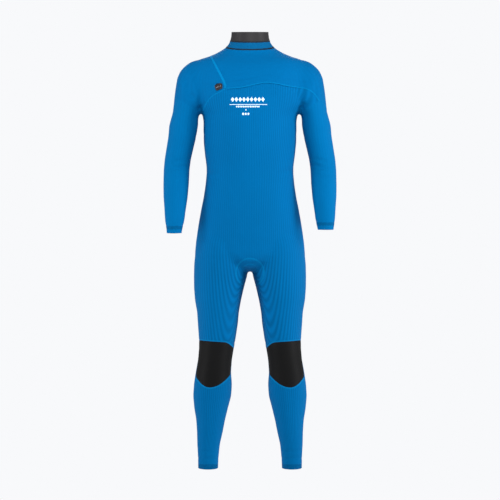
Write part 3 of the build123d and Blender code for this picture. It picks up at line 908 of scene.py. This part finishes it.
p, n = points_of(skin), normals_of(skin)
pressed = sum(fold_depth(p, n, fold) for fold in folds)
front, above = p[:, 1] < 0.03, p[:, 2] > 1.155
leg_points, arm_points = is_leg(p), is_arm(p)
pressed += groove(raglan_seam(p), above & (p[:, 2] < 1.36) & (p[:, 0] < 0))
pressed += groove(flap_seam(p), front & above & (p[:, 0] > -0.074), 0.0005)
low = p[:, 2] < gusset_top
pressed += groove(crotch_ring(p), low, 0.0005)
pressed += groove(crotch_ring(p) - crotch_ring_gap, low & (p[:, 1] < 0), 0.0005, 0.003)
pressed += groove(knee_line(p), leg_points, 0.0008)
pressed += groove(knee_pad_edge(p), leg_points & front, 0.0008)
pressed += groove(underarm_seam(p), p[:, 2] > 1.0, 0.0006)
calf = leg_points & (p[:, 2] < 0.262) & (p[:, 2] > 0.115) & (p[:, 1] < 0.01)
pressed += groove(calf_seam(p), calf, 0.0006)
pressed += groove(wrist_end(p) - hem_cuff, arm_points, 0.0006)
pressed += groove(p[:, 2] - ankle_cuff, leg_points, 0.0006)
pressed += groove(collar_low(p), p[:, 2] > 1.35, 0.0005)
set_points(skin, p - n * pressed[:, None])

# %% [markdown]
# Cutting adds new edges just where a seam runs: each edge of the skin that crosses the seam is
# split at the crossing, and the new points are joined across the faces. The panels then share
# their edges exactly.

# %% Cutting tools


def face_corners(mesh):
    """Each face corner's vertex and face, and the number of corners of each face."""
    corners = np.empty(len(mesh.loops), dtype=np.int32)
    sizes = np.empty(len(mesh.polygons), dtype=np.int32)
    mesh.loops.foreach_get("vertex_index", corners)
    mesh.polygons.foreach_get("loop_total", sizes)
    return corners, np.repeat(np.arange(len(sizes)), sizes), sizes


def face_means(obj, values):
    """The mean over each face of values given at the vertices."""
    corners, faces, sizes = face_corners(obj.data)
    return np.bincount(faces, values[corners], len(sizes)) / sizes


def cut_along(obj, distance, where=None):
    """Adds edges where the distance is nought, within the region where."""
    p = points_of(obj)
    values = distance(p)
    near = np.ones(len(p), bool) if where is None else where(p)
    ends = np.empty(len(obj.data.edges) * 2, dtype=np.int32)
    obj.data.edges.foreach_get("vertices", ends)
    first, second = ends.reshape(-1, 2).T
    crossing = np.nonzero((values[first] * values[second] < 0) & near[first] & near[second])[0]
    mesh = bmesh.new()
    mesh.from_mesh(obj.data)
    mesh.edges.ensure_lookup_table()
    mesh.verts.ensure_lookup_table()
    shares = np.clip(values[first] / (values[first] - values[second] + 1e-12), 0.02, 0.98)
    cuts = [(mesh.edges[i], mesh.verts[int(first[i])], float(shares[i])) for i in crossing.tolist()]
    fresh = [bmesh.utils.edge_split(edge, vert, share)[1] for edge, vert, share in cuts]
    bmesh.ops.connect_verts(mesh, verts=fresh)
    mesh.to_mesh(obj.data)
    mesh.free()


def keep_faces(obj, keep):
    """Deletes the faces that aren't kept, with their loose points."""
    mesh = bmesh.new()
    mesh.from_mesh(obj.data)
    mesh.faces.ensure_lookup_table()
    unwanted = [mesh.faces[i] for i in np.nonzero(~keep)[0].tolist()]
    bmesh.ops.delete(mesh, geom=unwanted, context="FACES")
    mesh.to_mesh(obj.data)
    mesh.free()


# %% [markdown]
# The uncut skin is kept for the tapes, which lie on it. Then every seam is cut, and each face is
# told which panel it belongs to.

# %% Cut the seams
master = skin.copy()
master.data = skin.data.copy()        # never linked to the scene, so it isn't a piece
slot_line = (-0.1045, -0.0945, 1.2480)  # the zip's opening at its closed end, and its height
slot_half = 0.0062


def zip_opening(p):
    """Above nought inside the rounded end of the zip's opening."""
    x = np.clip(p[:, 0], slot_line[0], slot_line[1])
    return slot_half - np.hypot(p[:, 0] - x, p[:, 2] - slot_line[2])


def height_over(height):
    """Above nought over a level line."""
    return lambda p: p[:, 2] - height


def cuff_seam(p):
    """Above nought over the stitching of the wrist's cuff."""
    return wrist_end(p) - hem_cuff


def head(p):
    """Which points are near the collar."""
    return p[:, 2] > head_floor


def trunk(p):
    """Which points are on the trunk, up to the collar."""
    return ~is_arm(p) & (p[:, 2] < 1.40) & (p[:, 2] > 0.62)


def chest_front(p):
    """Which points are on the front of the chest and shoulders."""
    return (p[:, 1] < 0.04) & (p[:, 2] > chest_floor)


cut_along(skin, neck_top, head)
cut_along(skin, collar_high, head)
cut_along(skin, collar_low, head)
cut_along(skin, shoulder_bend, lambda p: (p[:, 2] > 1.14) & (np.abs(p[:, 0]) > 0.145))
cut_along(skin, arm_divider, lambda p: (p[:, 2] > 1.09) & (p[:, 2] < 1.19))
cut_along(skin, height_over(elbow_split), is_arm)
cut_along(skin, cuff_seam, is_arm)
cut_along(skin, wrist_end, is_arm)
cut_along(skin, hip_bend, lambda p: (p[:, 2] < leg_top) & (arm_divider(p) < 0.01))
cut_along(skin, knee_line, is_leg)
cut_along(skin, knee_pad_edge, lambda p: is_leg(p) & (p[:, 2] < knee_roof) & (p[:, 2] > 0.22))
cut_along(skin, height_over(ankle_cuff), is_leg)
cut_along(skin, ankle_end, is_leg)
cut_along(skin, underarm_seam, lambda p: (p[:, 2] > armpit_floor) & (p[:, 2] < 1.23))
cut_along(skin, raglan_seam, lambda p: chest_front(p) & (p[:, 0] < -0.04))
cut_along(skin, flap_seam, lambda p: chest_front(p) & (p[:, 0] > -0.09))
cut_along(skin, side_seam, trunk)
cut_along(skin, crotch_ring, lambda p: p[:, 2] < gusset_top)
cut_along(skin, zip_opening, lambda p: (p[:, 1] < 0) & (p[:, 2] > 1.22) & (p[:, 2] < 1.28))

# %% [markdown]
# Each face goes to the first panel that claims it, and the claims run from the ends of the limbs
# to the trunk, so a rule only has to say which side of a seam its panel is on. Blender then
# separates the skin by material, one slot for each panel, which keeps the cut edges exactly
# alike on both sides of a seam.

# %% Sort the faces into panels
p = points_of(skin)
height, across = face_means(skin, p[:, 2]), face_means(skin, p[:, 0])


def over(distance):
    """The faces on the side of a seam where its distance is above nought."""
    return face_means(skin, distance(p)) > 0


arm = over(arm_divider) & over(shoulder_bend) & (height < arm_top) & (height > arm_bottom)
leg = over(hip_bend) & ~over(arm_divider) & (height < leg_top)
front = ~over(side_seam)
waste = over(neck_top) | (leg & ~over(ankle_end)) | (arm & ~over(wrist_end))
waste |= over(zip_opening) & front & (height > 1.2) & (height < 1.3)

panel_of = np.full(len(height), -1)
panel_names = []


def claim(name, faces):
    """Gives the faces that nothing has claimed yet to a panel."""
    panel_of[faces & (panel_of < 0)] = len(panel_names)
    panel_names.append(name)


claim("waste", waste)
claim("neck_skin", over(collar_high) & (height > head_floor))
claim("collar_band", over(collar_low) & (height > head_floor))
for side_name, side in sides:
    here = across * side > 0
    claim(f"{side_name}_wrist_hem", here & arm & ~over(cuff_seam))
    claim(f"{side_name}_lower_sleeve", here & arm & (height < elbow_split))
    claim(f"{side_name}_sleeve_panel", here & arm)
    claim(f"{side_name}_ankle_hem", here & leg & (height < ankle_cuff))
    claim(f"{side_name}_knee_cap", here & leg & over(knee_pad_edge) & (height < knee_roof))
    claim(f"{side_name}_lower_leg", here & leg & ~over(knee_line))
    claim(f"{side_name}_upper_leg", here & leg)
    claim(f"{side_name}_armpit_gusset", here & over(underarm_seam) & (height > armpit_floor))
claim("crotch_insert", over(crotch_ring) & (height < gusset_top))
claim("rear_panel", ~front)
claim("raglan_panel", over(raglan_seam) & (height > raglan_foot))
claim("shoulder_yoke", over(flap_seam) & (height > chest_floor))
claim("chest_panel", front)

panel_material = {"neck_skin": "seal", "collar_band": "collar", "chest_panel": "chest",
                  "shoulder_yoke": "shoulder", "raglan_panel": "shoulder",
                  "left_wrist_hem": "left_wrist", "right_wrist_hem": "right_wrist"}
for name in panel_names:
    for word in ("sleeve", "knee", "leg", "ankle"):
        if word in name:
            panel_material.setdefault(name, word)

skin.data.materials.clear()
for name in panel_names:
    skin.data.materials.append(materials[panel_material.get(name, "body")])
skin.data.polygons.foreach_set("material_index", panel_of.astype(np.int32))
mark = skin.data.attributes.new("panel", "INT", "FACE")
mark.data.foreach_set("value", panel_of.astype(np.int32))
activate(skin)
bpy.ops.object.mode_set(mode="EDIT")
bpy.ops.mesh.select_all(action="SELECT")
bpy.ops.mesh.separate(type="MATERIAL")
bpy.ops.object.mode_set(mode="OBJECT")

panels = {}
for obj in [o for o in bpy.data.objects if o.type == "MESH" and "panel" in o.data.attributes]:
    name = panel_names[obj.data.attributes["panel"].data[0].value]
    obj.data.attributes.remove(obj.data.attributes["panel"])
    if name == "waste":
        bpy.data.objects.remove(obj)
        continue
    obj.name = name
    panels[name] = obj
print(len(panels), "panels")

# %% [markdown]
# Each panel gets a map in metres, round its limb and along it, for the knit. Solidify then gives
# the foam its 3 mm, inwards from the outer face, with the lining's own material inside.

# %% Map and thicken a panel
foam = 0.003


def limb_middle(name, p):
    """The line down the middle of a piece's limb, at each point's height, and the limb's radius."""
    side = -1 if name.startswith("right") else 1
    if any(word in name for word in ("sleeve", "wrist")):
        heights, reaches = (0.772, 0.985, 1.085, 1.137, 1.3), (0.245, 0.238, 0.220, 0.2155, 0.200)
        x = side * np.interp(p[:, 2], heights, reaches)
        return x, np.interp(p[:, 2], (0.772, 0.985), (-0.070, 0.0)), 0.045
    if any(word in name for word in ("lower_leg", "knee", "ankle")):
        heights, reaches, _, _, backs = np.array(leg_rings)[::-1].T
        return side * np.interp(p[:, 2], heights, reaches), np.interp(p[:, 2], heights, backs), 0.07
    return np.zeros(len(p)), np.zeros(len(p)), 0.15


def map_piece(obj):
    """Lays out the suit map: metres round the limb and metres up it."""
    p = points_of(obj)
    x, y, radius = limb_middle(obj.name, p)
    turn = np.arctan2(p[:, 0] - x, -(p[:, 1] - y)) * radius
    corners, faces, sizes = face_corners(obj.data)
    u = turn[corners]
    highest = np.full(len(sizes), -np.inf)
    np.maximum.at(highest, faces, u)
    half_way = math.pi * radius             # a face may span the line where the turn starts again
    u = np.where(highest[faces] - u > half_way, u + 2 * half_way, u)
    layer = obj.data.uv_layers.get("suit") or obj.data.uv_layers.new(name="suit")
    layer.data.foreach_set("uv", np.column_stack((u, p[corners, 2])).ravel())


def surface_area(obj):
    """The area of an object's faces, in square metres."""
    areas = np.empty(len(obj.data.polygons))
    obj.data.polygons.foreach_get("area", areas)
    return float(areas.sum())


def thicken(obj, thickness, inner=None, rim_too=False):
    """Gives a sheet its thickness, inwards."""
    if inner:
        obj.data.materials.append(inner)
    solid = obj.modifiers.new("foam", "SOLIDIFY")
    solid.thickness = thickness
    solid.offset = -1
    solid.material_offset = 1 if inner else 0
    solid.material_offset_rim = 1 if inner and rim_too else 0
    activate(obj)
    bpy.ops.object.modifier_apply(modifier=solid.name)
    bpy.ops.object.shade_smooth_by_angle(angle=math.radians(42))


# %% [markdown]
# A panel is cut smaller than the body, and stretches more round it than along it. So the cut's
# size is worked out from the finished panel: its area over one stretch and its length over
# another, and the width is what is left, for an outline that fills most of its own box.

# %% The flat size of a panel
flat_sizes = {}
area_stretch, length_stretch, fullness, least_side = 1.12, 1.04, 0.85, 0.02


def declare_cut(obj, area):
    """Says the flat size of a panel before it was stretched over the body."""
    low, high = np.min(points_of(obj), axis=0), np.max(points_of(obj), axis=0)
    cut_area = area / area_stretch
    length = max((high[2] - low[2]) / length_stretch, least_side)
    width = max(cut_area / (fullness * length), least_side)
    if cut_area / (width * length) > 1:
        width = cut_area / length
    flat_sizes[obj.name] = (round(width, 3), round(length, 3))


# %% Thicken every panel
cloth_area = {}
for name, panel in panels.items():
    map_piece(panel)
    cloth_area[name] = surface_area(panel)
    open_edge = name == "neck_skin" or name.endswith("_hem")
    thicken(panel, foam, materials["lining"], open_edge)
print("cloth", round(sum(cloth_area.values()), 3), "square metres")

# %% [markdown]
# The tapes and bindings are narrow bands of the same skin: the faces near a seam are copied,
# divided once, cut at the band's two edges, and lifted off the skin by a hair.

# %% Bands along a seam


def patch(name, keep):
    """A copy of some of the uncut skin's faces, each divided in four."""
    corners, _, _ = face_corners(master.data)
    quads = corners.reshape(-1, 4)[keep]    # the remeshed skin is all quads
    used, numbers = np.unique(quads, return_inverse=True)
    co = points_of(master)[used]
    co[:, 2] -= suit_height
    mesh = bpy.data.meshes.new(name)
    mesh.from_pydata(co.tolist(), [], numbers.reshape(-1, 4).tolist())
    obj = bpy.data.objects.new(name, mesh)
    bpy.context.collection.objects.link(obj)
    activate(obj)
    bpy.ops.object.mode_set(mode="EDIT")
    bpy.ops.mesh.select_all(action="SELECT")
    bpy.ops.mesh.subdivide(number_cuts=1)
    bpy.ops.object.mode_set(mode="OBJECT")
    return obj


def band(name, distance, edges, limits, finish, lift=0.0006, thickness=0.0009):
    """A band between two distances from a seam, kept where every limit is above nought."""
    margin = 2 * voxel
    p = points_of(master)
    away = face_means(master, distance(p))
    keep = (away > edges[0] - margin) & (away < edges[1] + margin)
    for limit in limits:
        keep &= face_means(master, limit(p)) > -margin
    obj = patch(name, keep)
    rules = [lambda p: distance(p) - edges[0], lambda p: edges[1] - distance(p), *limits]
    for rule in rules:
        cut_along(obj, rule)
    p = points_of(obj)
    keep_faces(obj, np.all([face_means(obj, rule(p)) > 0 for rule in rules], axis=0))
    p, normals = points_of(obj), normals_of(obj)
    height = lift(p) if callable(lift) else np.full(len(p), lift)
    set_points(obj, p + normals * height[:, None])
    obj.data.materials.append(materials[finish])
    map_piece(obj)
    cloth_area[name] = surface_area(obj)
    thicken(obj, thickness)
    return obj


def below(distance):
    """The other side of a seam, as the side that is kept."""
    return lambda p: -distance(p)


def on_side(side):
    """The wearer's left or right half."""
    return lambda p: p[:, 0] * side


# %% [markdown]
# The collar has a dark binding at both its edges, and the seams that carry a load have a tape
# glued over them: the diagonal one over the shoulder, the ring round the crotch insert and the
# edge of each knee pad. The ring's tape is cut where the legs start to bend, so that each part
# can move with its own leg.

# %% Collar bindings, shoulder tape and crotch tape
raglan_corner = 1.2385                  # height where the diagonal seam meets the flap
fine_lift, fine_thickness = 0.0002, 0.0005
collar_limits = [height_over(collar_floor)]
crotch_tape_edges, low_trunk = (-0.0026, 0.0022), below(height_over(gusset_top))
torso_crotch = [low_trunk, below(hip_bend)]

trims = {
    "collar_piping": band("collar_piping", collar_low, (-0.0020, 0.0018), collar_limits, "trim", 0.0007),
    "seal_piping": band("seal_piping", collar_high, (-0.0017, 0.0017), collar_limits, "trim", 0.0007),
    "raglan_tape": band(
        "raglan_tape", raglan_seam, (-0.0036, 0.0036),
        [height_over(raglan_corner), below(side_seam), below(collar_low), on_side(-1)], "tape"),
    "crotch_tape": band("crotch_tape", crotch_ring, crotch_tape_edges, torso_crotch, "seam"),
    "crotch_stitch": band(
        "crotch_stitch", crotch_ring, (crotch_ring_gap, crotch_ring_gap + 0.0016), torso_crotch, "seam",
        fine_lift, fine_thickness),
}


def knee_front(p):
    """Above nought on the front of the leg."""
    return -0.012 - p[:, 1]


for side_name, side in sides:
    name = f"{side_name}_leg_tape"
    trims[name] = band(name, crotch_ring, crotch_tape_edges, [low_trunk, hip_bend, on_side(side)], "seam")
    name = f"{side_name}_knee_line"
    trims[name] = band(
        name, knee_pad_edge, (-0.0044, -0.0004),
        [height_over(0.24), below(height_over(0.47)), on_side(side), knee_front], "seam", 0.0003)
print({name: round(area, 5) for name, area in cloth_area.items() if name in trims})

# %% [markdown]
# The chest flap covers the zip. It is sewn down along its top, and its lower edge stands off the
# chest a little, so it casts a thin shadow. Along that edge lies a lighter blue band, partly its
# binding and partly a painted highlight of the raised edge.

# %% The flap over the zip
flap_depth, flap_stand = 0.021, 0.0016


def flap_lift(p):
    """The flap stands off at its free lower edge and lies down at its sewn top."""
    along = np.clip(flap_seam(p) / flap_depth, 0, 1)
    ends = np.clip((0.19 - p[:, 0]) / 0.05, 0, 1)
    return 0.0006 + flap_stand * (1 - along) ** 1.3 * ends


def flap_start(p):
    """Above nought to the left of the flap's corner over the sleeve's seam."""
    return p[:, 0] + 0.0765


def binding_and_highlight_lift(p):
    """The binding, which also carries the painted highlight of the flap's edge, lies on the flap."""
    return flap_lift(p) + 0.0003


flap_limits = [flap_start, below(shoulder_bend), below(side_seam), height_over(raglan_foot)]
trims["chest_flap"] = band(
    "chest_flap", flap_seam, (-0.0012, flap_depth), flap_limits, "shoulder", flap_lift, 0.0022)
# The flap binding's lighter blue is partly the binding's own colour and partly a painted highlight on the
# flap's raised lower edge.
trims["flap_binding"] = band(
    "flap_binding", flap_seam, (-0.0014, 0.0022), flap_limits, "seam", binding_and_highlight_lift, 0.0006)
trims["raglan_line"] = band(
    "raglan_line", raglan_seam, (-0.0013, 0.0013),
    [below(height_over(raglan_corner)), height_over(1.17), below(side_seam), on_side(-1)], "seam",
    fine_lift, fine_thickness)

# %% [markdown]
# The pull is a moulded rubber tab on the slider's post. A block is given its rounded outline by
# bevelling its upright edges, its face is inset and sunk, and small dots are set in rows on it.

# %% The pull tab
pull_joint = joints["pull_swing"]
print("pull pivot", pull_joint["pos_m"])
tab_long, tab_wide, tab_thick, tab_lean = 0.0235, 0.0185, 0.0022, math.radians(20)
tab_overhang, tab_drop = 0.0075, 0.004  # how far the tab runs past its post, and hangs below it
tab_stand = 0.0012                    # clear of the chest
out_angle = math.radians(17.4)        # how far the chest faces to the right at the post
outwards = Vector((-math.sin(out_angle), -math.cos(out_angle), 0))
sideways = Vector((math.cos(out_angle), -math.sin(out_angle), 0))


def select_faces(obj, rule):
    """Selects the faces whose normal and middle meet a rule, in edit mode."""
    bpy.ops.mesh.select_mode(type="FACE")
    bpy.ops.mesh.select_all(action="DESELECT")
    mesh = bmesh.from_edit_mesh(obj.data)
    for face in mesh.faces:
        face.select_set(rule(face.normal, face.calc_center_median()))
    bmesh.update_edit_mesh(obj.data)


def tab_plate():
    """The rubber tab lying flat, its face up, its post's middle at the origin."""
    deselect()
    tab_middle = (tab_overhang - tab_long / 2, -tab_drop, tab_thick / 2)
    bpy.ops.mesh.primitive_cube_add(size=1, location=tab_middle)
    tab = bpy.context.object
    tab.name = "pull_tab"
    tab.scale = (tab_long, tab_wide, tab_thick)
    bpy.ops.object.transform_apply(location=True, scale=True)
    bpy.ops.object.mode_set(mode="EDIT")
    bpy.ops.mesh.select_mode(type="EDGE")
    bpy.ops.mesh.select_all(action="DESELECT")
    mesh = bmesh.from_edit_mesh(tab.data)
    for edge in mesh.edges:
        ends = [vert.co for vert in edge.verts]
        edge.select_set(abs(ends[0].z - ends[1].z) > tab_thick / 2)
    bmesh.update_edit_mesh(tab.data)
    bpy.ops.mesh.bevel(offset=0.0042, segments=6)
    select_faces(tab, lambda normal, middle: normal.z > 0.9)
    bpy.ops.mesh.inset(thickness=0.0016)
    bpy.ops.mesh.inset(thickness=0.0005)
    select_faces(
        tab, lambda normal, middle: normal.z > 0.9 and abs(middle.y + tab_drop) < tab_wide / 5)
    bpy.ops.transform.translate(value=(0, 0, -0.0006))
    bpy.ops.object.mode_set(mode="OBJECT")
    return tab


def raised_dot(x, y):
    """A low round stud on the tab's face."""
    radius, flattening, sunk = 0.0011, 0.55, 0.0005
    bpy.ops.mesh.primitive_uv_sphere_add(segments=12, ring_count=8, radius=radius)
    dot = bpy.context.object
    dot.scale.z = flattening
    dot.location = (x, y, tab_thick - sunk)
    bpy.ops.object.transform_apply(location=True, scale=True)
    return dot


tab = tab_plate()
tab.data.materials.append(materials["pull"])
dot_columns, dot_rows = 4, 3
first_dot, dot_step = (-0.0115, -0.0082), (0.0046, 0.0042)
dots = []
for column in range(dot_columns):
    for row in range(dot_rows):
        dot = raised_dot(first_dot[0] + dot_step[0] * column, first_dot[1] + dot_step[1] * row)
        dot.data.materials.append(materials["pull_dots" if row == 1 else "pull"])
        dots.append(dot)
activate(tab)
for dot in dots:
    dot.select_set(True)
bpy.ops.object.join()
edge = tab.modifiers.new("edge", "BEVEL")
edge.width, edge.segments = 0.0004, 2
edge.limit_method, edge.angle_limit = "ANGLE", math.radians(50)
bpy.ops.object.modifier_apply(modifier=edge.name)
bpy.ops.object.shade_smooth_by_angle(angle=math.radians(40))
place = Matrix.Identity(4)
for column, axis in enumerate((sideways, Vector((0, 0, 1)), outwards)):
    for row in range(3):
        place[row][column] = axis[row]
pull_pivot = Vector(pull_joint["pos_m"])
place.translation = pull_pivot + outwards * tab_stand
tab.data.transform(place @ Matrix.Rotation(tab_lean, 4, "Z"))
tab.data.update()
print("pull tab", len(tab.data.polygons), "faces")

# %% [markdown]
# Now every piece is tied to the frame. Hems and the trunk ride on one body. A sleeve, a forearm,
# a thigh and a shin each bend across one joint, so the cloth turns smoothly there.

# %% Tie the pieces to the bodies


def bend(obj, side, names, start, way, run):
    """Blends a piece across a joint, from start along way, for a distance run."""
    begin = Vector((side * start[0], 0, level(start[1])))
    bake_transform(obj, names[0], names[1], start=begin, end=begin + Vector((side * way[0], 0, way[1])) * run)


pieces = {**panels, **trims}
knee_run, elbow_run, down = knee_zone[0] - knee_zone[1], elbow_zone[0] - elbow_zone[1], (0, -1)
for side_name, side in sides:
    upper_arm, forearm = f"{side_name}_upper_arm", f"{side_name}_forearm"
    thigh, shin = f"{side_name}_thigh", f"{side_name}_shin"
    joint = ("torso", upper_arm)
    bend(pieces[f"{side_name}_sleeve_panel"], side, joint, shoulder_start, shoulder_way, shoulder_run)
    joint, start = (upper_arm, forearm), (elbow_out, elbow_zone[0])
    bend(pieces[f"{side_name}_lower_sleeve"], side, joint, start, down, elbow_run)
    for piece in ("upper_leg", "leg_tape"):
        bend(pieces[f"{side_name}_{piece}"], side, ("torso", thigh), (0, hip_start), hip_way, hip_run)
    joint, start = (thigh, shin), (knee_out, knee_zone[0])
    for piece in ("lower_leg", "knee_cap", "knee_line"):
        bend(pieces[f"{side_name}_{piece}"], side, joint, start, down, knee_run)
    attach(pieces[f"{side_name}_wrist_hem"], forearm)
    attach(pieces[f"{side_name}_ankle_hem"], shin)
    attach(pieces[f"{side_name}_armpit_gusset"], "torso")
for name in (
    "neck_skin", "collar_band", "crotch_insert", "rear_panel", "raglan_panel", "shoulder_yoke",
    "chest_panel", "collar_piping", "seal_piping", "raglan_tape", "raglan_line", "crotch_tape",
    "crotch_stitch", "chest_flap", "flap_binding",
):
    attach(pieces[name], "torso")
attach(tab, "pull")

# %% [markdown]
# A panel stands for the sub-parts that lie under it, and hides them. The thin lines have no
# sub-part of their own.

# %% Which CAD nodes each piece stands for, and its slot
stands_for = {
    "neck_skin": (["neck_seal"], "smooth_skin"), "collar_band": (["outer_collar"], "collar_neoprene"),
    "rear_panel": (["back_panel"], "blue_neoprene"), "chest_panel": (["front_panel"], "blue_neoprene"),
    "raglan_panel": (["right_shoulder_panel"], "blue_neoprene"),
    "shoulder_yoke": (["neck_yoke"], "blue_neoprene"),
    "crotch_insert": (["crotch_gusset"], "blue_neoprene"), "chest_flap": (["zip_flap"], "blue_neoprene"),
    "collar_piping": (["collar_trim"], "bound_edge"), "seal_piping": (["seal_trim"], "bound_edge"),
    "raglan_tape": (["shoulder_seam_tape"], "seam_tape"), "crotch_tape": (["crotch_seam_tape"], "seam_tape"),
    "raglan_line": ([], "seam_tape"), "crotch_stitch": ([], "seam_tape"), "flap_binding": ([], "seam_tape"),
}
for side_name, side in sides:
    for piece, nodes, slot in (
        ("sleeve_panel", ["shoulder_sleeve", "upper_sleeve"], "sleeve_neoprene"),
        ("lower_sleeve", ["elbow_section", "forearm_sleeve"], "sleeve_neoprene"),
        ("wrist_hem", ["wrist_cuff"], "sleeve_neoprene"),
        ("armpit_gusset", ["underarm_gusset"], "blue_neoprene"),
        ("upper_leg", ["hip_section", "thigh_panel"], "leg_neoprene"),
        ("lower_leg", ["knee_back", "calf_panel"], "leg_neoprene"),
        ("knee_cap", ["knee_pad"], "knee_rubber"), ("ankle_hem", ["ankle_cuff"], "leg_neoprene"),
        ("leg_tape", [], "seam_tape"), ("knee_line", [], "seam_tape"),
    ):
        stands_for[f"{side_name}_{piece}"] = ([f"{side_name}_{node}" for node in nodes], slot)

for name, obj in pieces.items():
    nodes, slot = stands_for[name]
    if nodes:
        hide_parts(*nodes)
    if name in panels or name == "chest_flap":
        declare_cut(obj, cloth_area[name])  # the tapes and bindings are narrower than any sheet
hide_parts("zip_pull")

# %% [markdown]
# The zip and the barrier behind it are hard to see under the flap, so they stay as the CAD model
# has them, and get their own finishes: woven tape, moulded teeth and an enamelled slider.

# %% Finishes for the zip
node_finish = {
    "zip_tape_upper": "zip_cloth", "zip_tape_lower": "zip_cloth", "zip_teeth_upper": "zip_plastic",
    "zip_teeth_lower": "zip_plastic", "zip_end_stops": "slider", "zip_slider": "slider",
    "inner_barrier": "lining",
}
for node, finish in node_finish.items():
    obj = bpy.data.objects[node]
    for slot in obj.material_slots:
        slot.material = materials[finish]
    if not obj.material_slots:
        obj.data.materials.append(materials[finish])

# %% [markdown]
# Last, the flat sizes of the panels are printed.

# %% Print the flat sizes
print("flat sizes", flat_sizes)
